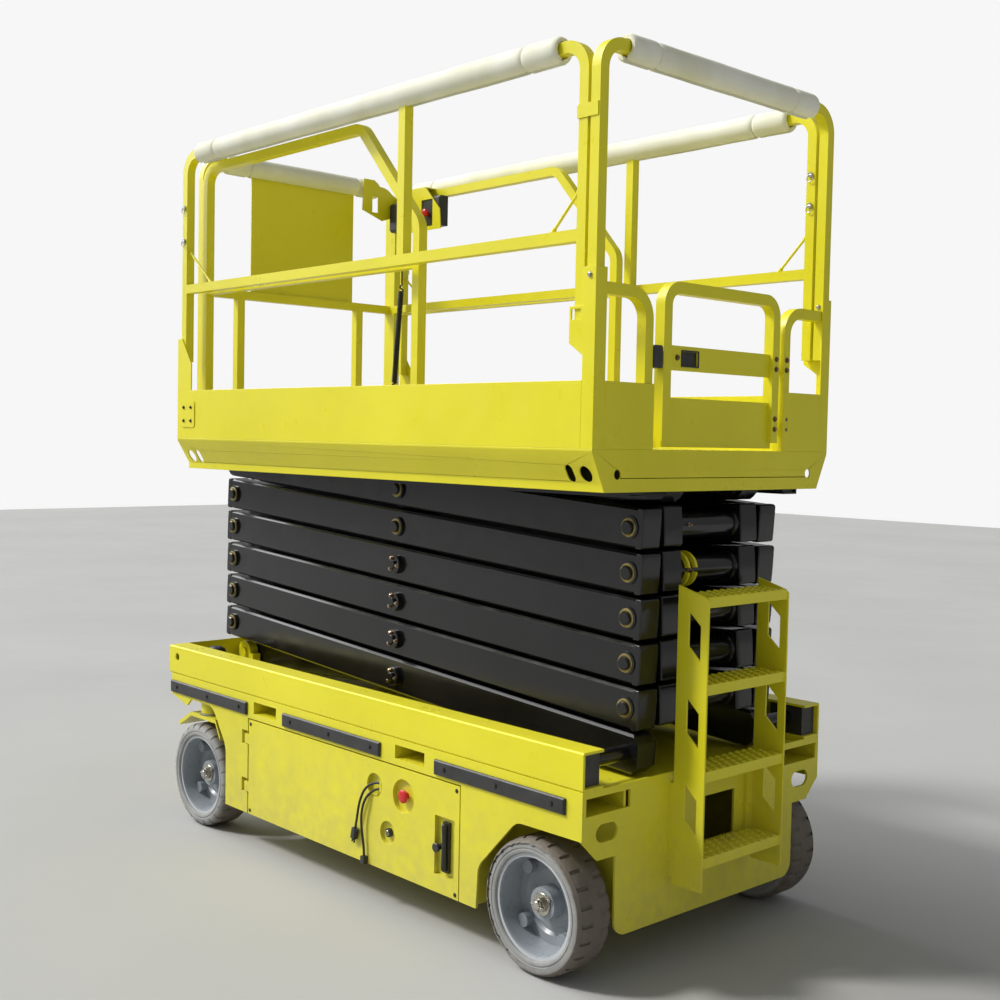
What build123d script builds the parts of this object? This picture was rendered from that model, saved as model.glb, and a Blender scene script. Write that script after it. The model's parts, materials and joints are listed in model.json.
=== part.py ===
"""Self-propelled scissor lift with a roll-out deck: chassis, six-level scissor stack, guarded platform.

Millimetres. +X is forward (the steered end), +Y the left side, +Z up, wheels on Z = 0.
"""

import os
from math import atan2, cos, hypot, radians, sin, tan

from build123d import *

os.makedirs("parts", exist_ok=True)

# Running gear
tyre_diameter = 381.0
tyre_width = 127.0
tyre_shoulder = 14.0
rim_diameter = 292.0
rim_wall = 10.0
rim_inset = 9.0
web_depth = 78.0
hub_radius = 46.0
hub_height = 42.0
spindle_radius = 24.0
stud_radius = 12.0
shaft_clearance = 0.05
running_gap = 8.0

# Chassis
chassis_half_width = 543.0
rear_overhang = 186.0
front_overhang = 227.0
chassis_plate = 8.0
belly_z = 128.0
rail_bottom_z = 548.0
rail_height = 106.0
rail_flange = 80.0
deck_top_z = 536.0
nose_setback = 22.0
longeron_width = 72.0

# Doors in the chassis sides
door_front_offset = 351.0
door_length = 1141.0
door_rear_offset = 304.0
door_top_z = 461.0
door_thickness = 22.0
door_gap = 5.0

# Door and gate hinges
door_hinge_reach = 26.0
door_hinge_inset = 14.0
door_knuckle_radius = 9.0
door_front_gap = 8.0
hinge_lug = 8.0
hinge_slot = 12.0
hinge_half = 17.0
hinge_leaf_thickness = 4.0
hinge_pin_radius = 4.0
hinge_barrel_radius = 8.0
hinge_play = 0.5
door_hinge_z = (219.0, 390.0)
gate_hinge_z = (1533.0, 1713.0)

# Fork tunnels across the chassis
tunnel_width = 142.0
tunnel_height = 42.0
front_tunnel_offset = 451.0
tunnel_pitch = 806.0

# Ladder
ladder_depth = 120.0
ladder_width = 374.0
ladder_bottom_z = 232.0
ladder_top_z = 1078.0
ladder_plate = 6.0
step_pitch = 242.0
step_height = 30.0
first_step_z = 296.0

# Scissor stack
levels = 6
level_pitch = 126.0
arm_height = 114.0
outer_arm_y = 228.0
outer_arm_width = 75.0
inner_arm_y = 135.0
inner_arm_width = 77.0
arm_overhang = 50.0
arm_chamfer = 24.0
inner_front_chamfer = 40.0
arm_edge = 7.0
pin_radius = 22.0
pin_boss = 8.0
pin_boss_radius = 33.0
base_pin_z = 606.0
front_pin_setback = 71.0
rear_pin_setback = 73.0
cross_tube_radius = 38.0
slider_length = 120.0

# Lift cylinder
lift_foot_share = 0.73
lift_foot_drop = 14.0
lift_head_share = 0.22
lift_head_offset = 55.0
lift_barrel_radius = 45.0
lift_rod_radius = 28.0
lift_eye_radius = 40.0
lift_eye_half = 47.0
lift_head_half = 32.0
lift_pin_radius = 18.0
lift_neck = 110.0
lift_bore_depth = 760.0
crank_plate = 24.0

# Platform
platform_setback = 39.0
platform_half_width = 538.0
platform_fold_z = 1447.0
toe_top_z = 1631.0
skirt_bottom_z = 1337.0
skirt_bottom_half = 487.0
skirt_lip = 20.0
sheet = 5.0
floor_sheet = 8.0
top_rail_beam = 80.0
top_rail_y = 322.0

# Guard rails
rail_tube = 32.0
top_rail_z = 2508.0
mid_rail_share = 0.53
rail_bend = 70.0
pad_radius = 39.0
seat_gap = 0.3
corner_post_top_z = 1926.0
corner_post_width = 44.0
socket_low_z = 1729.0
socket_high_z = 1826.0
loop_top_z = 1890.0
loop_inner_y = 333.0

# Gate
gate_left_y = 257.0
gate_right_y = -278.0
gate_top_z = 1917.0
gate_bottom_z = 1460.0
gate_tube = 33.0
gate_band = (1673.0, 1742.0)
gate_panel_top_z = 1597.0
gate_window_y = (93.0, 163.0)
gate_window_margin = 15.0

# Roll-out deck
extension_setback = 785.0
extension_half_width = 470.0
extension_lift = 6.0
extension_front_gap = 12.0

# Places worked out from the driving dimensions
wheelbase = door_front_offset + door_length + door_rear_offset
chassis_length = rear_overhang + wheelbase + front_overhang
overall_length = chassis_length + ladder_depth
chassis_rear = -overall_length / 2 + ladder_depth
chassis_front = overall_length / 2
rear_axle = chassis_rear + rear_overhang
front_axle = rear_axle + wheelbase
axle_z = tyre_diameter / 2
wheel_outer_y = chassis_half_width
wheel_inner_y = wheel_outer_y - tyre_width
wheel_mid_y = wheel_outer_y - tyre_width / 2
rim_outer_y = wheel_outer_y - rim_inset
hub_face_y = rim_outer_y - web_depth + hub_height
skin_inner = chassis_half_width - chassis_plate
nose_x = chassis_front - nose_setback
rail_top_z = rail_bottom_z + rail_height
front_pin_x = chassis_front - front_pin_setback
rear_pin_x = chassis_rear + rear_pin_setback
pin_span = front_pin_x - rear_pin_x
arm_length = hypot(pin_span, level_pitch)
rest_angle = atan2(level_pitch, pin_span)
outer_arm_out = outer_arm_y + outer_arm_width
inner_arm_out = inner_arm_y + inner_arm_width
platform_rear = chassis_rear
platform_length = chassis_length - platform_setback
platform_front = platform_rear + platform_length
extension_length = platform_length - extension_setback
top_pin_z = base_pin_z + levels * level_pitch
floor_top_z = platform_fold_z + sheet
mid_rail_z = floor_top_z + mid_rail_share * (top_rail_z - floor_top_z)
door_front = front_axle - door_front_offset
door_rear = door_front - door_length
door_hinge_x = door_front + door_hinge_reach
door_hinge_y = chassis_half_width - door_hinge_inset
tunnel_top_z = deck_top_z - chassis_plate
tunnel_bottom_z = tunnel_top_z - tunnel_height
lift_foot = Vector(front_pin_x - lift_foot_share * pin_span, 0, base_pin_z - lift_foot_drop)
lift_head = Vector(
    front_pin_x - lift_head_share * pin_span + lift_head_offset * sin(rest_angle),
    0,
    base_pin_z + lift_head_share * level_pitch + lift_head_offset * cos(rest_angle),
)
lift_length = (lift_head - lift_foot).length
lift_line = (lift_head - lift_foot).normalized()
tunnel_centres = [front_axle - front_tunnel_offset - i * tunnel_pitch for i in range(2)]


def keep(builder, name):
    """Label a finished sub-part and write it as its own file."""
    builder.part.label = name
    export_step(builder.part, f"parts/{name}.step")


def slab(x, y, z, mode=Mode.ADD):
    """Add a block given by its low and high coordinate on each axis."""
    with Locations(((x[0] + x[1]) / 2, (y[0] + y[1]) / 2, (z[0] + z[1]) / 2)):
        Box(x[1] - x[0], y[1] - y[0], z[1] - z[0], mode=mode)


def slab_pair(x, y, z, mode=Mode.ADD):
    """Add the same block on the left and on the right."""
    slab(x, y, z, mode)
    slab(x, (-y[1], -y[0]), z, mode)


def round_y(x, y, z, radius, mode=Mode.ADD):
    """Add a round bar that lies across the machine."""
    with Locations(Location((x, (y[0] + y[1]) / 2, z), (90, 0, 0))):
        Cylinder(radius, abs(y[1] - y[0]), mode=mode)


def round_z(x, y, z, radius, mode=Mode.ADD):
    """Add an upright round bar."""
    with Locations((x, y, (z[0] + z[1]) / 2)):
        Cylinder(radius, z[1] - z[0], mode=mode)


def side_plate(points, y, mode=Mode.ADD):
    """Add a plate whose outline is drawn in side view."""
    with BuildSketch(Plane.XZ.offset(-y[1])) as outline:
        with BuildLine():
            Polyline(*points, close=True)
        make_face()
    extrude(outline.sketch, amount=y[1] - y[0], mode=mode)


def end_plate(points, x, mode=Mode.ADD):
    """Add a plate whose outline is drawn from behind."""
    with BuildSketch(Plane.YZ.offset(x[0])) as outline:
        with BuildLine():
            Polyline(*points, close=True)
        make_face()
    extrude(outline.sketch, amount=x[1] - x[0], mode=mode)


def bent_tube(points, radius, width, mode=Mode.ADD):
    """Add a square tube bent along a route with one radius at every corner."""
    start = Vector(*points[0])
    along = Vector(*points[1]) - start
    across = Vector(0, 1, 0) if abs(along.normalized().Y) < 0.9 else Vector(1, 0, 0)
    with BuildLine() as route:
        if len(points) == 2:
            Line(*points)
        else:
            FilletPolyline(*points, radius=radius)
    with BuildSketch(Plane(start, x_dir=across, z_dir=along)) as section:
        Rectangle(width, width)
    sweep(section.sketch, path=route.line, mode=mode)


# Wheels: deep-dished rims with a stepped web and a hub, and solid rubber tyres
rim_lip = 10.0
dish_taper = 14.0
web_step = 8.0
web_step_radius = 96.0
dish_boss_radius = 20.0
dish_boss_height = 34.0


def build_wheel(corner, x, side):
    rim_radius = rim_diameter / 2
    outer = rim_outer_y
    inner = wheel_inner_y + rim_inset
    web = outer - web_depth
    back = web - rim_wall
    bore = spindle_radius + shaft_clearance
    dish_radius = rim_radius - rim_lip - dish_taper
    axis = Axis((x, 0, axle_z), (0, 1, 0))
    profile = [
        (bore, inner), (hub_radius, inner), (hub_radius, back), (rim_radius - rim_wall, back),
        (rim_radius - rim_wall, inner), (rim_radius, inner), (rim_radius, outer), (rim_radius - rim_lip, outer),
        (dish_radius, web + web_step), (web_step_radius, web + web_step), (web_step_radius - web_step, web),
        (hub_radius, web), (hub_radius, hub_face_y), (bore, hub_face_y),
    ]
    with BuildPart() as rim:
        with BuildSketch(Plane.XY.offset(axle_z)):
            with BuildLine():
                Polyline(*[(x + radius, y) for radius, y in profile], close=True)
            make_face()
        revolve(axis=axis)
        # Half-round bosses where the web meets the dish
        with Locations(Plane((x, web, axle_z), x_dir=(1, 0, 0), z_dir=(0, 1, 0))):
            with PolarLocations(dish_radius - dish_boss_radius / 2, 4, start_angle=40):
                Cylinder(dish_boss_radius, dish_boss_height, align=(Align.CENTER, Align.CENTER, Align.MIN))
        if side < 0:
            mirror(about=Plane.XZ, mode=Mode.REPLACE)
    keep(rim, f"rim_{corner}")

    tread_radius = tyre_diameter / 2
    section = [
        (rim_radius, wheel_inner_y), (tread_radius - tyre_shoulder, wheel_inner_y),
        (tread_radius, wheel_inner_y + tyre_shoulder), (tread_radius, wheel_outer_y - tyre_shoulder),
        (tread_radius - tyre_shoulder, wheel_outer_y), (rim_radius, wheel_outer_y),
    ]
    with BuildPart() as tyre:
        with BuildSketch(Plane.XY.offset(axle_z)):
            with BuildLine():
                Polyline(*[(x + radius, y) for radius, y in section], close=True)
            make_face()
        revolve(axis=axis)
        if side < 0:
            mirror(about=Plane.XZ, mode=Mode.REPLACE)
    keep(tyre, f"tyre_{corner}")


for corner, x, side in (
    ("front_left", front_axle, 1),
    ("front_right", front_axle, -1),
    ("rear_left", rear_axle, 1),
    ("rear_right", rear_axle, -1),
):
    build_wheel(corner, x, side)

# Chassis frame: deck plate, bulkheads, fork tunnels, front and rear boxes with their axles
bulkhead_front = door_front + 54.0
bulkhead_rear = door_rear - 56.0
front_box_half = wheel_mid_y - 216.5
front_box_bottom = 300.0
rear_box_half = wheel_inner_y - 44.0
wheel_roof_z = 466.0
stud_length = 24.0
track_arm = 90.0
track_rod_radius = 11.0
track_rod_z = 429.0
steer_limit = radians(40)
king_boss_radius = 46.0
king_boss_bottom = 420.0
king_boss_top = 500.0
king_pin_radius = 20.0
axle_tube_height = 70.0
motor_radius = 70.0
pivot_plate = 34.0
pivot_plate_half = 62.0

with BuildPart() as chassis_frame:
    inside_rear = chassis_rear + chassis_plate
    inside_front = nose_x - chassis_plate
    slab((inside_rear, inside_front), (-skin_inner, skin_inner), (tunnel_top_z, deck_top_z))
    slab_pair((inside_rear, inside_front), (skin_inner - longeron_width, skin_inner), (deck_top_z, rail_bottom_z))
    for x in tunnel_centres:
        half = tunnel_width / 2
        slab((x - half - chassis_plate, x + half + chassis_plate), (-skin_inner, skin_inner),
             (tunnel_bottom_z - chassis_plate, tunnel_top_z))
        slab((x - half, x + half), (-skin_inner, skin_inner), (tunnel_bottom_z, tunnel_top_z), mode=Mode.SUBTRACT)
    for x in (bulkhead_front, bulkhead_rear):
        slab((x - chassis_plate, x), (-skin_inner, skin_inner), (belly_z, tunnel_top_z))
    belly_half = skin_inner - door_thickness - running_gap
    slab((bulkhead_rear, bulkhead_front), (-belly_half, belly_half), (belly_z, belly_z + chassis_plate))
    # Front box between the steered wheels, with the king-pin bosses on its cross tube
    slab_pair((bulkhead_front, inside_front), (front_box_half - chassis_plate, front_box_half),
              (front_box_bottom, tunnel_top_z))
    slab((bulkhead_front, inside_front), (-front_box_half, front_box_half),
         (front_box_bottom, front_box_bottom + chassis_plate))
    slab_pair((front_axle - axle_tube_height / 2, front_axle + axle_tube_height / 2), (front_box_half, wheel_mid_y),
              (king_boss_bottom + 10.0, king_boss_top))
    # Slots in the box walls for the track rod's travel
    slot_margin = track_rod_radius + 6.0
    slab_pair((front_axle - track_arm - slot_margin, front_axle - track_arm * cos(steer_limit) + slot_margin),
              (front_box_half - chassis_plate, front_box_half),
              (track_rod_z - slot_margin, track_rod_z + slot_margin), mode=Mode.SUBTRACT)
    for side in (1, -1):
        round_z(front_axle, side * wheel_mid_y, (king_boss_bottom, king_boss_top), king_boss_radius)
        round_z(front_axle, side * wheel_mid_y, (king_boss_bottom, king_boss_top - chassis_plate),
                king_pin_radius + shaft_clearance, mode=Mode.SUBTRACT)
    # Rear box with the drive motors and spindles
    slab_pair((inside_rear, bulkhead_rear - chassis_plate), (rear_box_half - chassis_plate, rear_box_half),
              (belly_z + 32.0, tunnel_top_z))
    slab((inside_rear, bulkhead_rear - chassis_plate), (-rear_box_half, rear_box_half),
         (belly_z + 32.0, belly_z + 32.0 + chassis_plate))
    slab_pair((inside_rear, bulkhead_rear - chassis_plate), (rear_box_half, skin_inner),
              (wheel_roof_z, wheel_roof_z + chassis_plate))
    motor_end = wheel_inner_y - running_gap
    spindle_end = hub_face_y - running_gap
    for side in (1, -1):
        round_y(rear_axle, (side * rear_box_half, side * motor_end), axle_z, motor_radius)
        round_y(rear_axle, (side * motor_end, side * spindle_end), axle_z, spindle_radius)
        round_y(rear_axle, (side * spindle_end, side * (hub_face_y + stud_length)), axle_z, stud_radius)
    # Rounded pivot brackets for the lowest inner arms, with their fixed pins
    bracket_in = inner_arm_out + 6.0
    for side in (1, -1):
        near, far = sorted((side * bracket_in, side * (bracket_in + pivot_plate)))
        slab((front_pin_x - pivot_plate_half, inside_front), (near, far), (deck_top_z, base_pin_z))
        round_y(front_pin_x, (near, far), base_pin_z, 45.0)
        round_y(front_pin_x, (side * (inner_arm_y + 4.0), side * bracket_in), base_pin_z, pin_radius)
        round_y(front_pin_x, (side * (bracket_in + pivot_plate), side * (bracket_in + pivot_plate + 10.0)),
                base_pin_z, pin_radius)
    # Foot lugs of the lift cylinder, with the pin between them
    lug_y = (lift_eye_half + 3.0, lift_eye_half + 23.0)
    slab_pair((lift_foot.X - 40.0, lift_foot.X + 40.0), lug_y, (deck_top_z, lift_foot.Z + 34.0))
    round_y(lift_foot.X, (-lug_y[1], lug_y[1]), lift_foot.Z, lift_pin_radius)
keep(chassis_frame, "chassis_frame")

# Side skirts: skin plates with the wheel arches, door openings and fork pockets cut out
front_arch_back = front_axle - tyre_diameter / 2 - 4.5
front_arch_z = 466.0
nose_bottom_z = 469.0
rear_arch_z = 416.0
rear_arch_front = rear_axle + tyre_diameter / 2 + 41.5
with BuildPart() as side_skirts:
    slab((chassis_rear + chassis_plate, nose_x), (skin_inner, chassis_half_width), (belly_z - 4.0, rail_bottom_z))
    with BuildSketch(Plane.XZ.offset(-chassis_half_width)):
        with BuildLine():
            arch = FilletPolyline(
                (front_arch_back - 2.0, 0), (front_arch_back, front_arch_z - 130.0),
                (front_arch_back + 96.0, front_arch_z), (front_axle + 60.0, front_arch_z),
                (front_axle + 88.0, front_arch_z - 28.0), (nose_x + 1.0, nose_bottom_z),
                radius=(90.0, 60.0, 8.0, 8.0),
            )
            Polyline(arch @ 1, (nose_x + 1.0, 0), arch @ 0)
        make_face()
    extrude(amount=chassis_plate, mode=Mode.SUBTRACT)
    with BuildSketch(Plane.XZ.offset(-chassis_half_width)):
        with BuildLine():
            arch = FilletPolyline(
                (rear_arch_front, 0), (rear_arch_front - 12.0, rear_arch_z - 166.0),
                (rear_axle + 66.0, rear_arch_z - 3.0), (chassis_rear, rear_arch_z), radius=60.0,
            )
            Polyline(arch @ 1, (chassis_rear, 0), arch @ 0)
        make_face()
    extrude(amount=chassis_plate, mode=Mode.SUBTRACT)
    slab((door_rear - door_gap, door_front + door_front_gap), (skin_inner, chassis_half_width),
         (0, door_top_z + door_gap), mode=Mode.SUBTRACT)
    for x in tunnel_centres:
        slab((x - tunnel_width / 2, x + tunnel_width / 2), (skin_inner, chassis_half_width),
             (tunnel_bottom_z, tunnel_top_z), mode=Mode.SUBTRACT)
    # Notches for the flush hinge tabs, with lugs behind them that carry the hinge pins
    for z in door_hinge_z:
        notch_z = (z - hinge_half - hinge_play - 2.5, z + hinge_half + hinge_slot)
        slab((door_front, bulkhead_front - chassis_plate), (skin_inner, chassis_half_width), notch_z,
             mode=Mode.SUBTRACT)
        lug_x = (door_hinge_x - door_knuckle_radius, door_hinge_x + door_knuckle_radius)
        lug_y = (door_hinge_y - door_knuckle_radius, skin_inner)
        slab(lug_x, lug_y, (notch_z[0] - hinge_lug, notch_z[0]))
        slab(lug_x, lug_y, (notch_z[1], notch_z[1] + hinge_lug))
        round_z(door_hinge_x, door_hinge_y, (notch_z[0] - hinge_lug, notch_z[1] + hinge_lug), hinge_pin_radius)
    mirror(about=Plane.XZ)
keep(side_skirts, "side_skirts")

# Slide rails: channels along both sides that the lowest outer arms roll in, joined across the nose
lift_hole = 14.0
rail_fold = 7.0
with BuildPart() as slide_rails:
    side_x = (chassis_rear, chassis_front)
    flange_in = chassis_half_width - rail_flange
    slab_pair(side_x, (skin_inner, chassis_half_width), (rail_bottom_z, rail_top_z))
    slab_pair(side_x, (flange_in, skin_inner), (rail_bottom_z, rail_bottom_z + chassis_plate))
    slab_pair(side_x, (flange_in, skin_inner), (rail_top_z - chassis_plate, rail_top_z))
    slab((chassis_front - chassis_plate, chassis_front), (-chassis_half_width, chassis_half_width),
         (rail_bottom_z, rail_top_z))
    for side in (1, -1):
        round_y(chassis_front - 62.0, (side * skin_inner, side * chassis_half_width), rail_bottom_z + 66.0,
                lift_hole, mode=Mode.SUBTRACT)
    nose_edges = slide_rails.edges().filter_by(Axis.Z).group_by(Axis.X)[-1]
    fillet(nose_edges, radius=chassis_plate / 2)
    long_edges = slide_rails.edges().filter_by(lambda edge: edge.length > chassis_length * 0.9)
    fold_edges = long_edges.filter_by(lambda edge: abs(edge.center().Y) > chassis_half_width - 1.0)
    fillet(fold_edges, radius=rail_fold)
keep(slide_rails, "slide_rails")

# Rear plate: stepped outline clear of the wheels, corner windows and tie-down slots
rear_low_half = wheel_inner_y - running_gap
rear_step_z = 355.0
rear_corner = 45.0
rear_hatch_y = -40.0
with BuildPart() as rear_plate:
    half = chassis_half_width
    plate_x = (chassis_rear, chassis_rear + chassis_plate)
    end_plate(
        [(-half, rail_bottom_z), (-half, rear_arch_z), (-half + 62.0, rear_step_z), (-rear_low_half, rear_step_z),
         (-rear_low_half, belly_z), (rear_low_half, belly_z), (rear_low_half, rear_step_z),
         (half - 62.0, rear_step_z), (half, rear_arch_z), (half, rail_bottom_z)],
        plate_x,
    )
    low_corners = rear_plate.edges().filter_by(Axis.X).group_by(Axis.Z)[0]
    fillet(low_corners, radius=rear_corner)
    slab_pair(plate_x, (half - 189.0, half - 15.0), (wheel_roof_z + chassis_plate + 6.0, tunnel_top_z),
              mode=Mode.SUBTRACT)
    with BuildSketch(Plane.YZ.offset(chassis_rear)):
        with Locations((half - 98.0, rear_arch_z + 10.0), (98.0 - half, rear_arch_z + 10.0)):
            SlotOverall(86, 50)
        with Locations((rear_hatch_y, rear_step_z + 31.0)):
            Rectangle(142, 132)
    extrude(amount=chassis_plate, mode=Mode.SUBTRACT)
keep(rear_plate, "rear_plate")

# Front plate below the nose
with BuildPart() as front_plate:
    slab((nose_x - chassis_plate, nose_x), (-skin_inner, skin_inner), (nose_bottom_z, rail_bottom_z))
    slab((nose_x - chassis_plate, nose_x), (-front_box_half, front_box_half), (front_box_bottom, nose_bottom_z))
keep(front_plate, "front_plate")

# Battery and hydraulic packs: plain heavy blocks behind the two doors
with BuildPart() as power_packs:
    pack_top = tunnel_bottom_z - chassis_plate - 30.0
    pack_z = (belly_z + chassis_plate, pack_top)
    slab_pair((bulkhead_rear + 60.0, bulkhead_front - 60.0), (120.0, belly_half - 60.0), pack_z)
keep(power_packs, "power_packs")

# Bumper strips: black moulded strips along the skirts above the doors
bumper_bottom_z = 476.0
bumper_height = 46.0
bumper_thickness = 9.0
bumper_spans = (
    (nose_x - 545.0, nose_x - 4.0),
    (tunnel_centres[1] + tunnel_width, tunnel_centres[0] - tunnel_width * 0.83),
    (chassis_rear + 60.0, tunnel_centres[1] - tunnel_width * 0.86),
)
with BuildPart() as bumpers:
    for span in bumper_spans:
        slab(span, (chassis_half_width, chassis_half_width + bumper_thickness),
             (bumper_bottom_z, bumper_bottom_z + bumper_height))
    outer_face = bumpers.faces().filter_by(Axis.Y).group_by(Axis.Y)[-1]
    chamfer(outer_face.edges(), length=4.0)
    mirror(about=Plane.XZ)
keep(bumpers, "bumpers")

# Beacon on the nose rail
beacon_x = chassis_front - 138.0
beacon_y = chassis_half_width - 125.0
with BuildPart() as beacon:
    round_z(beacon_x, beacon_y, (deck_top_z, deck_top_z + 40.0), 30.0)
    round_z(beacon_x, beacon_y, (deck_top_z + 40.0, deck_top_z + 96.0), 34.0)
    round_z(beacon_x, beacon_y, (deck_top_z + 96.0, deck_top_z + 120.0), 38.0)
keep(beacon, "beacon")

# Ladder: two folded side plates with slanted cut-outs, and four steps between them
with BuildPart() as ladder:
    ladder_rear = chassis_rear - ladder_depth
    back = chassis_rear - 12.0
    for side in (1, -1):
        y = sorted((side * (ladder_width / 2 - ladder_plate), side * ladder_width / 2))
        side_plate([(ladder_rear, ladder_bottom_z), (back, ladder_bottom_z), (back, ladder_top_z),
                    (ladder_rear + 12.0, ladder_top_z - 26.0), (ladder_rear, ladder_top_z - 36.0)], y)
        foot = sorted((side * (ladder_width / 2 - 30.0), side * ladder_width / 2))
        slab((back, chassis_rear), foot, (ladder_bottom_z + 20.0, rail_bottom_z - 30.0))
        for i in range(3):
            low = first_step_z + step_height + i * step_pitch + 62.0
            side_plate(
                [(back - 40, low + 136), (back - 82, low + 98), (back - 82, low), (back - 40, low + 38)],
                y, mode=Mode.SUBTRACT,
            )
    inside = ladder_width / 2 - ladder_plate
    for i in range(4):
        z = first_step_z + i * step_pitch
        slab((ladder_rear + 4.0, back - 6.0), (-inside, inside), (z, z + step_height))
        slab((ladder_rear + 4.0 + ladder_plate, back - 6.0 - ladder_plate), (-inside, inside),
             (z, z + step_height - ladder_plate), mode=Mode.SUBTRACT)
keep(ladder, "ladder")

# Side doors, hinged on their front edges
hole_z = 381.0
cord_hole_x = door_rear + 407.0
stop_x = door_rear + 261.5
stop_z = 376.0
key_x = door_rear + 337.5
key_z = 245.0
lever_x = door_rear + 64.5
lead_start = -24.5
door_bottom_z = belly_z - 4.0
door_y = (chassis_half_width - door_thickness, chassis_half_width)


def door_panel():
    """Add a door on the left side, with its flush hinge tabs and their knuckles."""
    slab((door_rear, door_front), door_y, (door_bottom_z, door_top_z))
    for z in door_hinge_z:
        tab_z = (z - hinge_half, z + hinge_half)
        slab((door_front, door_hinge_x + 2.0), (skin_inner, chassis_half_width), tab_z)
        round_z(door_hinge_x, door_hinge_y, tab_z, door_knuckle_radius)
        round_z(door_hinge_x, door_hinge_y, tab_z, hinge_pin_radius + shaft_clearance, mode=Mode.SUBTRACT)


with BuildPart() as door_left:
    door_panel()
    round_y(cord_hole_x, (door_y[1] - 15.0, door_y[1]), hole_z, 37.5, mode=Mode.SUBTRACT)
    slab((cord_hole_x - 32.0, cord_hole_x + lead_start), (door_y[1] - 15.0, door_y[1] - 1.0),
         (hole_z - 18.0, hole_z + 16.0))
    round_y(stop_x, (door_y[1] - 14.0, door_y[1]), stop_z, 52.0, mode=Mode.SUBTRACT)
    round_y(key_x, (door_y[1] - 12.0, door_y[1]), key_z, 37.0, mode=Mode.SUBTRACT)
    slab((lever_x - 45.0, lever_x + 45.0), (door_y[1] - 14.0, door_y[1]), (178.0, 355.0), mode=Mode.SUBTRACT)
keep(door_left, "door_left")

with BuildPart() as door_right:
    door_panel()
    mirror(about=Plane.XZ, mode=Mode.REPLACE)
keep(door_right, "door_right")

with BuildPart() as stop_button:
    floor_y = door_y[1] - 14.0
    round_y(stop_x, (floor_y, floor_y + 8.0), stop_z, 14.0)
    round_y(stop_x, (floor_y + 8.0, floor_y + 22.0), stop_z, 21.0)
keep(stop_button, "stop_button")

with BuildPart() as release_lever:
    slab((lever_x - 14.0, lever_x + 14.0), (floor_y, floor_y + 10.0), (190.0, 340.0))
    round_y(lever_x + 26.0, (floor_y, floor_y + 18.0), 262.0, 9.0)
    round_y(key_x, (door_y[1] - 12.0, door_y[1] - 2.0), key_z, 14.0)
keep(release_lever, "release_lever")

# Charger lead: two strands out of the door's round hole, one to the plug and one to a clip
cord_radius = 4.0
plug_route = [(lead_start, -7, 9), (-2, -7, 9), (27, 14, -8), (56, 16, -59), (74, 12, -125), (82, 11, -155)]
clip_route = [(lead_start, -7, -10), (-2, -7, -10), (30, 15, -44), (49, 15, -106), (45, 12, -162), (37, 9, -212),
              (37, 9, -233)]


def corner_radii(points):
    """Give each corner of a cord's route the largest arc that its two runs allow."""
    radii = []
    for before, point, after in zip(points, points[1:], points[2:]):
        first = Vector(*point) - Vector(*before)
        second = Vector(*after) - Vector(*point)
        turn = radians(first.get_angle(second))
        radii.append(0.45 * min(first.length, second.length) / tan(turn / 2))
    return radii


def build_cord(name, route_offsets, radius):
    """Sweep a cord along its route, given from the middle of the door's round hole."""
    points = [(cord_hole_x + dx, chassis_half_width + dy, hole_z + dz) for dx, dy, dz in route_offsets]
    radii = corner_radii(points)
    with BuildPart() as cord:
        with BuildLine() as route:
            FilletPolyline(*points, radius=radii)
        with BuildSketch(Plane(route.line @ 0, z_dir=route.line % 0)):
            Circle(radius)
        sweep(path=route.line)
    keep(cord, name)
    return Vector(*points[-2]), Vector(*points[-1])


plug_lead = build_cord("lead_to_plug", plug_route, cord_radius)
clip_lead = build_cord("lead_to_clip", clip_route, cord_radius)

with BuildPart() as plug:
    end = plug_lead[1]
    direction = (end - plug_lead[0]).normalized()
    with BuildSketch(Plane(end, z_dir=direction)) as plug_face:
        RectangleRounded(22, 18, 5)
    extrude(amount=34)
    with BuildSketch(Plane(end + direction * 34, x_dir=plug_face.workplanes[0].x_dir, z_dir=direction)):
        with Locations((-5, 0), (5, 0)):
            Rectangle(2, 6)
    extrude(amount=15)
keep(plug, "plug")

with BuildPart() as lead_clip:
    clip_end = clip_lead[1]
    slab((clip_end.X - 9, clip_end.X + 9), (chassis_half_width, clip_end.Y + 8), (door_bottom_z, clip_end.Z))
keep(lead_clip, "lead_clip")

# Steering: bent yoke plates over the tyres on king pins, a track rod through the front box, and one cylinder
yoke_top_z = king_boss_bottom - 6.0
yoke_plate = 14.0
yoke_in = wheel_inner_y - running_gap
yoke_leg = 18.0
yoke_half = 50.0
steer_arm = (-130.0, -103.0)
arm_low_z = 135.0
arm_thick = 14.0
rod_gap = 6.0
eye_radius = 22.0
eye_height = 24.0
steer_pin_radius = 10.0


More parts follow.
